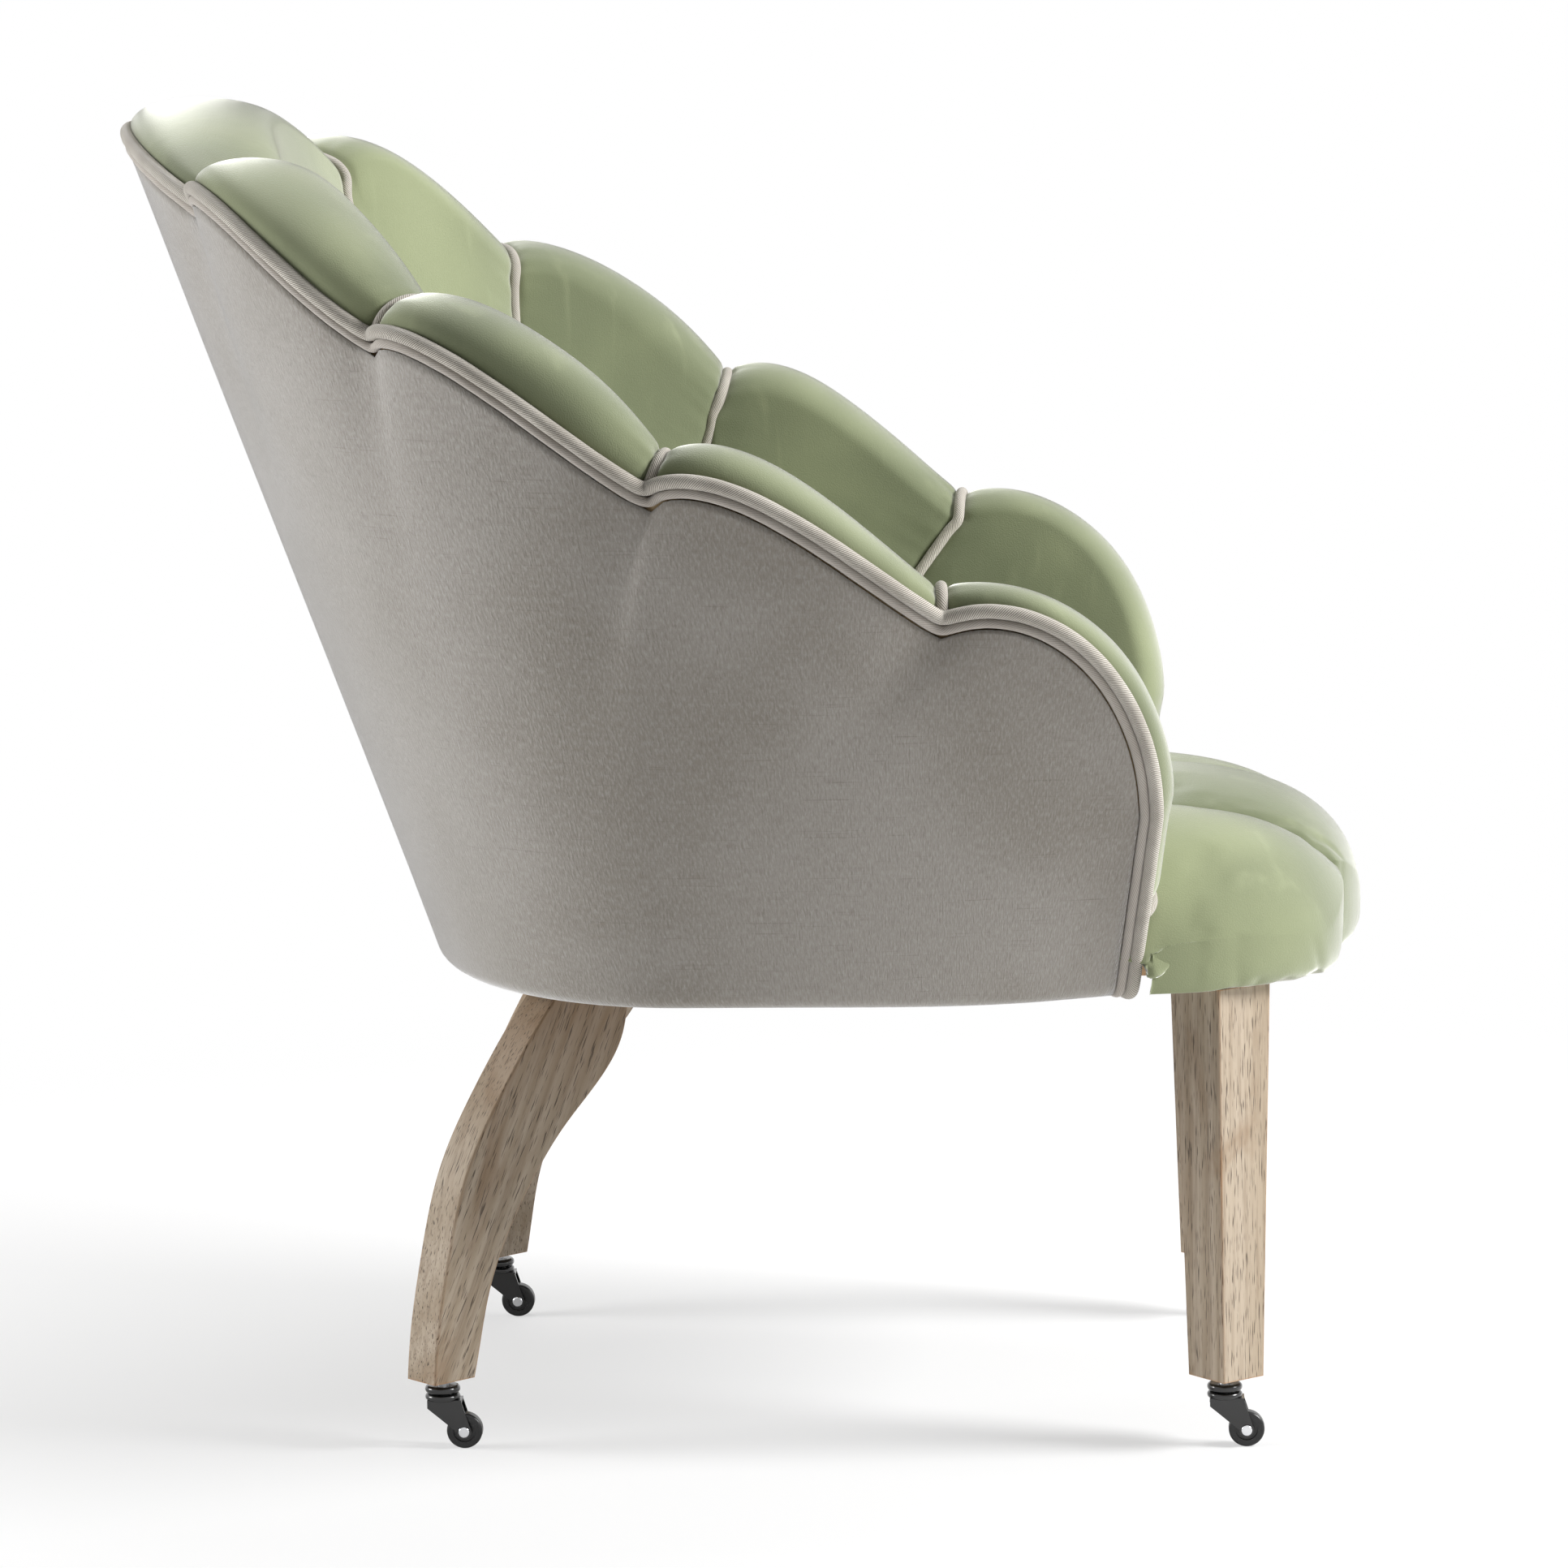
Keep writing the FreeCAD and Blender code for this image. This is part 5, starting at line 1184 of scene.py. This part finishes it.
@dataclass
class OutsideCover:
    """Woven cover of the whole outside, cut as one sheet and drawn under the frame."""

    barrel: Barrel
    cloth: bpy.types.Material
    thickness: float = 2.4
    top_drop: float = 12.0
    columns: int = 27
    rows: int = 60
    curl: float = 9.0
    tight_reach: float = 130.0
    tight_rounds: int = 80
    tight_return: float = -1.02
    tucked_under: float = 14.0
    strain: float = 0.9
    map_centre_y: float = -0.12
    map_radius: float = 0.31
    map_slope: float = 1.12

    def line(self, lobe: int, v: float, depth: float) -> list[Vector]:
        """Points down the cover at one place along the edge."""
        barrel = self.barrel
        angle, z = barrel.station(lobe, v)
        foot_angle = barrel.foot(lobe, v)[0]
        kept = 0.0
        if lobe == barrel.arm:
            foot_angle = mix(barrel.foot_angles[-1], barrel.arm_front_angle, v / barrel.arch_run)
            kept = (v / barrel.arch_run) ** 2
        start = barrel.below(lobe, v, depth, self.top_drop)
        shift = start - barrel.below(lobe, v, depth, 0.0)
        points = []
        for down in shares(self.rows):
            here, height = mix(angle, foot_angle, down), mix(z, barrel.foot_z, down)
            flat = barrel.wall(here, height, depth + barrel.inset(lobe, v, height) * (1 - down) ** 2)
            points.append(flat + shift * (1 - down * (1 - kept)))
        points[0] = start
        for share in shares(9)[1:]:
            height = mix(barrel.foot_z, barrel.base_z + self.curl, share)
            points.append(barrel.wall(foot_angle, height, depth) + shift * kept)
        for turn in shares(7, 0, math.pi / 2)[1:]:
            drawn = self.curl * (1 - math.cos(turn)) * (1 - depth / self.curl)
            height = barrel.base_z + self.curl - (self.curl - depth) * math.sin(turn)
            points.append(barrel.wall(foot_angle, height, depth + drawn) + shift * kept)
        points.append(points[-1] - barrel.outward(foot_angle, barrel.base_z) * self.tucked_under)
        return points

    def build(self) -> None:
        """Make the sheet with its real thickness and a UV map in metres."""
        barrel = self.barrel
        places = []
        for i in range(-barrel.arm, barrel.arm + 1):
            reach = barrel.arch_run if abs(i) == barrel.arm else 1.0
            across = [reach * v for v in shares(self.columns)]
            across = across[::-1] if i < 0 else across
            new = [(-1 if i < 0 else 1, abs(i), v) for v in across]
            places += new[1:] if places else new
        grids = []
        for depth in (0.0, self.thickness):
            grids.append(self.drawn_tight([sided(self.line(lobe, v, depth), sign) for sign, lobe,
                v in places]))
        piece = closed_form("outside_woven_cover", grids[0], grids[1], {})
        mesh = piece.data
        points = coordinates(mesh)
        strained = np.array([noise.noise(Vector((p[0] * 5, p[1] * 5, p[2] * 2.5))) for p in points])
        place_points(mesh, points + normals(mesh) * (strained * self.strain * MM)[:, None])
        self.lay_out(mesh)
        mesh.shade_smooth()
        finished(piece, self.cloth, ["outside_cover"])

    def drawn_tight(self, lines: Rows) -> Rows:
        """Even the cover out across the wall, the more the further below the scallops."""
        grid = np.array([[tuple(p) for p in line] for line in lines])
        down = np.linalg.norm(grid - grid[:, :1], axis=2)[..., None]
        share = np.clip(down / self.tight_reach, 0, 1) ** 2
        for _ in range(self.tight_rounds):
            for pull in (1.0, self.tight_return):
                even = grid.copy()
                even[1:-1] = (grid[:-2] + 2 * grid[1:-1] + grid[2:]) / 4
                grid += (even - grid) * share * pull
        return [[Vector(p) for p in line] for line in grid]

    def lay_out(self, mesh: bpy.types.Mesh) -> None:
        """Give the cover a UV map: round the wall, and up it."""
        layer = mesh.uv_layers.new(name="cloth")
        points = coordinates(mesh)
        loops = np.zeros(len(mesh.loops), int)
        mesh.loops.foreach_get("vertex_index", loops)
        turn = np.arctan2(points[:, 0], points[:, 1] - self.map_centre_y)
        flat = np.stack([turn * self.map_radius, points[:, 2] * self.map_slope], axis=1)[loops]
        layer.data.foreach_set("uv", flat.astype(np.float32).ravel())


class CordShape(Enum):
    """Cross-sections of piping: diameter in millimetres and number of points round it."""

    EDGE = (9.5, 20)
    LOWER = (6.5, 16)
    CHANNEL = (8.0, 18)


@dataclass
class Piping:
    """Cord in bias twill along the scalloped edge, in the seams between flutes and round the arms' feet."""

    barrel: Barrel
    twill: bpy.types.Material
    napped: bpy.types.Material
    step: float = 2.0
    wobble: float = 0.35
    tail_turn: float = 5.0
    merge: float = 0.01
    upper_place: tuple[float, float] = (-0.75, 0.0)
    lower_place: tuple[float, float] = (0.75, 7.7)
    lip: float = 2.5
    foot_heights: tuple[float, float] = (366.0, 396.0)
    foot_drop: float = 160.0

    def tree(self) -> bpy.types.NodeTree:
        """Node tree that sweeps a round cord along a curve and records where each point lies on it."""
        made = new_tree("corded_piping", {"Path": ("Geometry", None), "Diameter": ("Float", 0.0095),
            "Step": ("Float", 0.002), "Wobble": ("Float", 0.0003), "Points Round": ("Int", 20),
            "Cloth": ("Material", None)}, "Piping")
        given = put(made, "NodeGroupInput").outputs
        evened = put(made, "GeometryNodeResampleCurve", {"Curve": given["Path"], "Length": given["Step"]},
            mode="LENGTH")
        uneven = put(made, "ShaderNodeTexNoise", {"Vector": put(made, "GeometryNodeInputPosition").outputs[0],
            "Scale": 38.0, "Detail": 2.0})
        centred = put(made, "ShaderNodeVectorMath", {0: uneven.outputs["Color"], 1: (0.5, 0.5, 0.5)},
            operation="SUBTRACT")
        sized = put(made, "ShaderNodeVectorMath", {0: centred.outputs[0], "Scale": given["Wobble"]},
            operation="SCALE")
        hand_sewn = put(made, "GeometryNodeSetPosition", {"Geometry": evened.outputs[0],
            "Offset": sized.outputs[0]})
        length = put(made, "GeometryNodeSplineParameter")
        along = put(made, "GeometryNodeCaptureAttribute", {"Geometry": hand_sewn.outputs[0]}, domain="POINT")
        along.capture_items.new("FLOAT", "Along")
        made.links.new(length.outputs["Length"], along.inputs["Along"])
        radius = put(made, "ShaderNodeMath", {0: given["Diameter"], 1: 0.5}, operation="MULTIPLY")
        ring = put(made, "GeometryNodeCurvePrimitiveCircle", {"Resolution": given["Points Round"],
            "Radius": radius.outputs[0]})
        round_it = put(made, "GeometryNodeCaptureAttribute", {"Geometry": ring.outputs[0]}, domain="POINT")
        round_it.capture_items.new("VECTOR", "Place")
        made.links.new(put(made, "GeometryNodeInputPosition").outputs[0], round_it.inputs["Place"])
        swept = put(made, "GeometryNodeCurveToMesh", {"Curve": along.outputs["Geometry"],
            "Profile Curve": round_it.outputs["Geometry"], "Fill Caps": True})
        parts = put(made, "ShaderNodeSeparateXYZ", {0: round_it.outputs["Place"]})
        joined = put(made, "ShaderNodeCombineXYZ", {0: parts.outputs[0], 1: parts.outputs[1],
            2: along.outputs["Along"]})
        kept = put(made, "GeometryNodeStoreNamedAttribute", {"Geometry": swept.outputs[0], "Name": "cord",
            "Value": joined.outputs[0]}, data_type="FLOAT_VECTOR", domain="POINT")
        soft = put(made, "GeometryNodeSetShadeSmooth", {"Geometry": kept.outputs[0]})
        real = put(made, "GeometryNodeRealizeInstances", {"Geometry": soft.outputs[0]})
        dressed = put(made, "GeometryNodeSetMaterial", {"Geometry": real.outputs[0],
            "Material": given["Cloth"]})
        put(made, "NodeGroupOutput", {"Piping": dressed.outputs[0]})
        return made

    def sweep(self, name: str, paths: list[list[Vector]], shape: CordShape, cloth: bpy.types.Material,
            tree: bpy.types.NodeTree) -> bpy.types.Object:
        """Sweep cords along paths given in millimetres."""
        diameter, count = shape.value
        mesh = run_along(tree, name, [[p * MM for p in path] for path in paths], {"Diameter": diameter * MM,
            "Step": self.step * MM, "Wobble": self.wobble * 2 * MM, "Points Round": count, "Cloth": cloth})
        cleaned(mesh, self.merge)
        return new_object(name, mesh)

    def edge_path(self, depth: float, drop: float) -> list[Vector]:
        """One line along the whole scalloped edge, its corners at the notches eased."""
        barrel = self.barrel
        points = []
        for i in range(-barrel.arm, barrel.arm + 1):
            count = 90 if abs(i) == barrel.arm else 60
            line = [barrel.below(abs(i), v, depth, drop) for v in shares(count)]
            if abs(i) == barrel.arm:
                line += self.tail(line)
            line = sided(line, -1)[::-1] if i < 0 else line
            points += line[1:] if points else line
        return self.eased(points, 5)

    def tail(self, line: list[Vector]) -> list[Vector]:
        """Go on down from an arm's front to the chair's underside, and turn in under it."""
        last, way = line[-1], (line[-1] - line[-2]).normalized()
        inward = -self.barrel.outward(self.barrel.arm_front_angle, self.barrel.base_z)
        reach = (last.z - self.barrel.base_z - self.tail_turn) / max(-way.z, 0.5)
        heart = last + way * reach + inward * self.tail_turn
        bend = [heart - inward * (self.tail_turn * math.cos(a)) + way * (self.tail_turn * math.sin(a))
            for a in shares(8, 0.0, math.pi / 2)]
        return [last + way * reach * t for t in shares(4)[1:-1]] + bend + [bend[-1] + inward * 8]

    def eased(self, points: list[Vector], rounds: int) -> list[Vector]:
        """Even a path's spacing to the step, and round its corners a little."""
        spaced = self.spaced(points)
        for _ in range(rounds):
            inside = [(a + b * 2 + c) / 4 for a, b, c in zip(spaced, spaced[1:], spaced[2:])]
            spaced = [spaced[0]] + inside + [spaced[-1]]
        return spaced

    def spaced(self, points: list[Vector]) -> list[Vector]:
        """Points at even steps along a path."""
        runs = np.concatenate([[0.0], np.cumsum([(b - a).length for a, b in zip(points, points[1:])])])
        wanted = np.linspace(0, runs[-1], max(int(runs[-1] / self.step), 2))
        axes = [np.interp(wanted, runs, [p[k] for p in points]) for k in range(3)]
        return [Vector(p) for p in zip(*axes)]

    def build(self) -> None:
        """Make all the piping."""
        barrel, tree = self.barrel, self.tree()
        edge = self.sweep("upper_edge_piping", [self.edge_path(*self.upper_place)], CordShape.EDGE,
            self.twill, tree)
        finished(edge, None, ["edge_piping_upper"])
        lower = self.sweep("lower_edge_piping", [self.edge_path(*self.lower_place)], CordShape.LOWER,
            self.napped, tree)
        finished(lower, None, ["edge_piping_lower"])
        seams, foot = [], []
        for lobe in range(1, barrel.arm + 1):
            ws = shares(26, 0.02, 1.0) + shares(40, 1.0, 2.0)[1:]
            seams.append(self.eased([barrel.velvet(lobe, 0.0, w, self.lip, 0.2) for w in ws], 4))
        seams += [sided(path, -1) for path in seams]
        channel = self.sweep("channel_seam_piping", seams, CordShape.CHANNEL, self.twill, tree)
        finished(channel, None, ["channel_piping"])
        for w in shares(24, 0.02, 1.0) + shares(8, 1.0, 1.2)[1:]:
            z = mix(*self.foot_heights, min(w, 1.0))
            v = mix(barrel.arch_run, 1.0, (barrel.shoulder_z - z) / (barrel.shoulder_z - barrel.arm_foot_z))
            point = barrel.velvet(barrel.arm, v, min(w, 1.0), self.lip, 4.0)
            if w > 1:
                point -= barrel.roll_axes(barrel.arm, v)[1] * ((w - 1) * self.foot_drop)
            foot.append(point)
        foot = self.eased(foot, 4)
        ends = self.sweep("arm_foot_piping", [foot, sided(foot, -1)], CordShape.CHANNEL, self.twill, tree)
        finished(ends, None)


@dataclass
class Underside:
    """Staples that hold the dust cover under the seat."""

    steel: bpy.types.Material
    spacing: float = 32.0
    crown: float = 10.0
    wire: float = 1.1
    inset: float = 5.0
    last_turn: float = 128.0

    def tree(self) -> bpy.types.NodeTree:
        """Node tree that sets a staple every so often along a curve."""
        made = new_tree("dust_cover_staples", {"Path": ("Geometry", None), "Spacing": ("Float", 0.032),
            "Crown": ("Float", 0.01), "Wire": ("Float", 0.0011), "Steel": ("Material", None)}, "Staples")
        given = put(made, "NodeGroupInput").outputs
        stations = put(made, "GeometryNodeCurveToPoints", {"Curve": given["Path"],
            "Length": given["Spacing"]}, mode="LENGTH")
        size = put(made, "ShaderNodeCombineXYZ", {0: given["Crown"], 1: given["Wire"], 2: given["Wire"]})
        bar = put(made, "GeometryNodeMeshCube", {"Size": size.outputs[0], "Vertices X": 5})
        turned = put(made, "FunctionNodeAlignRotationToVector", {"Vector": stations.outputs["Tangent"]},
            axis="X")
        slant = put(made, "FunctionNodeRandomValue", {2: -0.18, 3: 0.18, "Seed": 5}, data_type="FLOAT")
        tilt = put(made, "ShaderNodeCombineXYZ", {2: slant.outputs[1]})
        spun = put(made, "FunctionNodeRotateRotation", {"Rotation": turned.outputs[0], "Rotate By": put(made,
            "FunctionNodeEulerToRotation", {0: tilt.outputs[0]}).outputs[0]})
        set_in = put(made, "GeometryNodeInstanceOnPoints", {"Points": stations.outputs["Points"],
            "Instance": bar.outputs[0], "Rotation": spun.outputs[0]})
        real = put(made, "GeometryNodeRealizeInstances", {"Geometry": set_in.outputs[0]})
        dressed = put(made, "GeometryNodeSetMaterial", {"Geometry": real.outputs[0],
            "Material": given["Steel"]})
        put(made, "NodeGroupOutput", {"Staples": dressed.outputs[0]})
        return made

    def build(self) -> None:
        """Set staples along the sides and front of the dust cover."""
        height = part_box("dust_cover")[0].z - self.wire * MM / 2
        rim = self.outline(coordinates(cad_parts["dust_cover"].data), self.inset * MM)
        mesh = run_along(self.tree(), "dust_cover_staples", [[Vector((x, y, height)) for x, y in rim]],
            {"Spacing": self.spacing * MM, "Crown": self.crown * MM, "Wire": self.wire * MM,
            "Steel": self.steel})
        piece = new_object("dust_cover_staples", mesh)
        mesh.shade_flat()
        finished(piece, None)

    def outline(self, points: np.ndarray, inset: float) -> list[tuple[float, float]]:
        """Round the dust cover's edge, a little inside it, behind its front cut-outs."""
        rim = []
        for turn in shares(60, -self.last_turn, self.last_turn):
            way = np.array([math.sin(math.radians(turn)), math.cos(math.radians(turn))])
            reach = points[:, :2] @ way
            across = np.abs(points[:, 0] * way[1] - points[:, 1] * way[0])
            near = reach[(across < 0.03) & (reach > 0)]
            if len(near):
                rim.append(tuple(way * (near.max() - inset)))
        return rim


@dataclass
class CarriedOver:
    """CAD nodes whose shape is right, and the finish that each takes."""

    finishes: dict[str, bpy.types.Material]

    def dress(self) -> None:
        """Give every node that still shows its material."""
        for name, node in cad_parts.items():
            if node.hide_render:
                continue
            for key, material in self.finishes.items():
                if key in name:
                    node.data.materials.clear()
                    node.data.materials.append(material)
                    break
            else:
                LOG.warning("no finish for %s", name)


@dataclass
class Studio:
    """Camera, lamps and floor."""

    eye: tuple[float, float, float] = (-4.11385, -0.23824, 1.02364)
    ahead: tuple[float, float, float] = (0.98813426, 0.05206025, -0.14450056)
    right: tuple[float, float, float] = (0.0506085, -0.99862451, -0.01370685)
    lens: float = 137.89
    floor_size: float = 30.0
    aim: tuple[float, float, float] = (0.0, 0.0, 0.45)

    def camera(self) -> None:
        """Set the camera as the photograph's."""
        data = bpy.data.cameras.new("camera")
        data.lens = self.lens
        data.sensor_width = 36.0
        data.clip_end = 100.0
        made = bpy.data.objects.new("camera", data)
        bpy.context.scene.collection.objects.link(made)
        ahead, right = Vector(self.ahead), Vector(self.right)
        up = right.cross(ahead).normalized()
        made.matrix_world = Matrix.Translation(self.eye) @ Matrix((right, up, -ahead)).transposed().to_4x4()
        bpy.context.scene.camera = made

    def lamp(self, name: str, place: tuple[float, float, float], size: float, power: float) -> None:
        """Hang one softbox, aimed at the middle of the chair."""
        data = bpy.data.lights.new(name, "AREA")
        data.shape = "DISK"
        data.size = size
        data.energy = power
        made = bpy.data.objects.new(name, data)
        bpy.context.scene.collection.objects.link(made)
        made.location = place
        made.rotation_euler = (Vector(self.aim) - Vector(place)).to_track_quat("-Z", "Y").to_euler()

    def build(self) -> None:
        """Set the room round the chair."""
        self.camera()
        self.lamp("front_softbox", (-0.45, -2.7, 2.0), 1.2, 132.0)
        self.lamp("back_softbox", (-0.2, 2.8, 1.1), 1.2, 58.0)
        self.lamp("top_softbox", (0.7, -0.3, 2.9), 1.6, 34.0)
        scene = bpy.context.scene
        scene.view_settings.view_transform = "Standard"
        world = bpy.data.worlds.new("studio")
        scene.world = world
        world.use_nodes = True
        tree = world.node_tree
        path = put(tree, "ShaderNodeLightPath")
        seen = put(tree, "ShaderNodeMath", {0: path.outputs["Is Camera Ray"],
            1: path.outputs["Is Glossy Ray"]}, operation="MAXIMUM")
        shown = put(tree, "ShaderNodeMath", {0: seen.outputs[0], 1: path.outputs["Is Transmission Ray"]},
            operation="MAXIMUM")
        strength = put(tree, "ShaderNodeMapRange", {"Value": shown.outputs[0], "To Min": 0.13, "To Max": 1.0})
        tree.links.new(strength.outputs[0], tree.nodes["Background"].inputs["Strength"])
        tree.nodes["Background"].inputs["Color"].default_value = (1.0, 1.0, 1.0, 1.0)
        self.floor()

    def floor(self) -> None:
        """Lay a pale floor that goes to plain white away from the chair and keeps its shadow near it."""
        half = self.floor_size / 2
        mesh = bpy.data.meshes.new("studio_floor")
        mesh.from_pydata([(-half, -half, 0), (half, -half, 0), (half, half, 0), (-half, half, 0)], [], [(0, 1,
            2, 3)])
        made = new_object("studio_floor", mesh)
        material, tree, shader = new_material("white_floor")
        wire(tree, shader, {"Base Color": linear("#F7F7F7"), "Roughness": 0.9})
        place = put(tree, "ShaderNodeTexCoord").outputs["Object"]
        far = put(tree, "ShaderNodeVectorMath", {0: place}, operation="LENGTH")
        fade = put(tree, "ShaderNodeMapRange", {"Value": far.outputs["Value"], "From Min": 0.5,
            "From Max": 1.5, "To Min": 0.55}, interpolation_type="SMOOTHSTEP")
        path = put(tree, "ShaderNodeLightPath")
        share = put(tree, "ShaderNodeMath", {0: fade.outputs[0], 1: path.outputs["Is Camera Ray"]},
            operation="MULTIPLY")
        glow = put(tree, "ShaderNodeEmission", {"Color": (1.0, 1.0, 1.0, 1.0), "Strength": 1.0})
        blend = put(tree, "ShaderNodeMixShader", {0: share.outputs[0], 1: shader.outputs[0],
            2: glow.outputs[0]})
        tree.links.new(blend.outputs[0], tree.nodes["Material Output"].inputs["Surface"])
        mesh.materials.append(material)


def main() -> None:
    """Build the looks, piece by piece."""
    logging.basicConfig(level=logging.INFO, format="%(name)s: %(message)s")
    Studio().build()
    velvet = Velvet().material()
    weave = NappedWeave().material()
    twill = Twill().material()
    # Its rib and groove colours are painted light and shade as well
    napped = Twill(name="grey_napped_piping", lit_rib="#BDB7AF", shaded_groove="#978F86", spacing=2.6,
        relief=0.1).material()
    steel = Plain("zinc_plated_steel", "#B9BABB", "#9C9D9F", 0.35, metallic=1.0, grain=6.0).material()
    chrome = Plain("chrome_plate", "#E2E3E5", "#D0D2D5", 0.09, metallic=1.0, grain=8.0,
        relief=0.004).material()
    enamel = Plain("black_gloss_enamel", "#0D0D0E", "#070708", 0.2, grain=4.0, relief=0.01,
        coat=0.4).material()
    nylon = Plain("black_moulded_nylon", "#141415", "#0C0C0D", 0.3, grain=1.5, relief=0.02).material()
    foam = Plain("cut_foam", "#EBDFC0", "#D8C9A2", 0.95, grain=1.8, relief=0.4).material()
    gauze = Plain("spun_dust_cloth", "#1B1B1C", "#111112", 0.9, grain=1.2, relief=0.15).material()
    beech = Timber("sawn_beech", "#D9B48C", "#CDA57C", "#B98E66", "#9A7150", "#C2976C", pore_width=0.6,
        pore_length=5.0, roughness=0.7, wax=0.3).material()
    ply = Timber("bent_birch_ply", "#DFC7A0", "#D3B88F", "#BE9F74", "#A58458", "#CDB083", ring=2.0,
        pore_width=0.5, pore_length=6.0, roughness=0.7, wax=0.3).material()
    lean = (135.0 / math.sqrt(2), 135.0 / math.sqrt(2), -265.0)
    oak = limed_oak("limed_oak", (0.0, 0.0, 1.0)).material()
    # The rear legs are painted darker from 0.2 m up, as painted shade under the seat
    oak_left = limed_oak("limed_oak_rear_left", tuple(Vector(lean).normalized()), 0.2).material()
    oak_right = limed_oak("limed_oak_rear_right", tuple(Vector((-lean[0], lean[1], lean[2])).normalized()),
        0.2).material()
    barrel, stuffing = Barrel(), Stuffing()
    flutes = Flutes(barrel, stuffing, velvet)
    flutes.build(0, Side.LEFT)
    for lobe in range(1, barrel.arm + 1):
        for side in Side:
            flutes.build(lobe, side)
    seat = SeatPad(barrel, stuffing, velvet)
    for part in (None, Side.LEFT, Side.RIGHT):
        seat.build(part)
    stuffing.fill()
    flutes.finish()
    seat.finish()
    OutsideCover(barrel, weave).build()
    Piping(barrel, twill, napped).build()
    Underside(steel).build()
    CarriedOver({"ply_shell": ply, "rail": beech, "block": beech, "left_front_leg": oak,
        "right_front_leg": oak, "left_rear_leg": oak_left, "right_rear_leg": oak_right, "foam": foam,
        "dust_cover": gauze, "spring": steel, "bolt": steel, "socket": chrome, "_cap": enamel,
        "_fork": enamel, "_wheel": nylon, "_axle": chrome, "_stem": chrome}).dress()


if __name__ == "__main__":
    main()
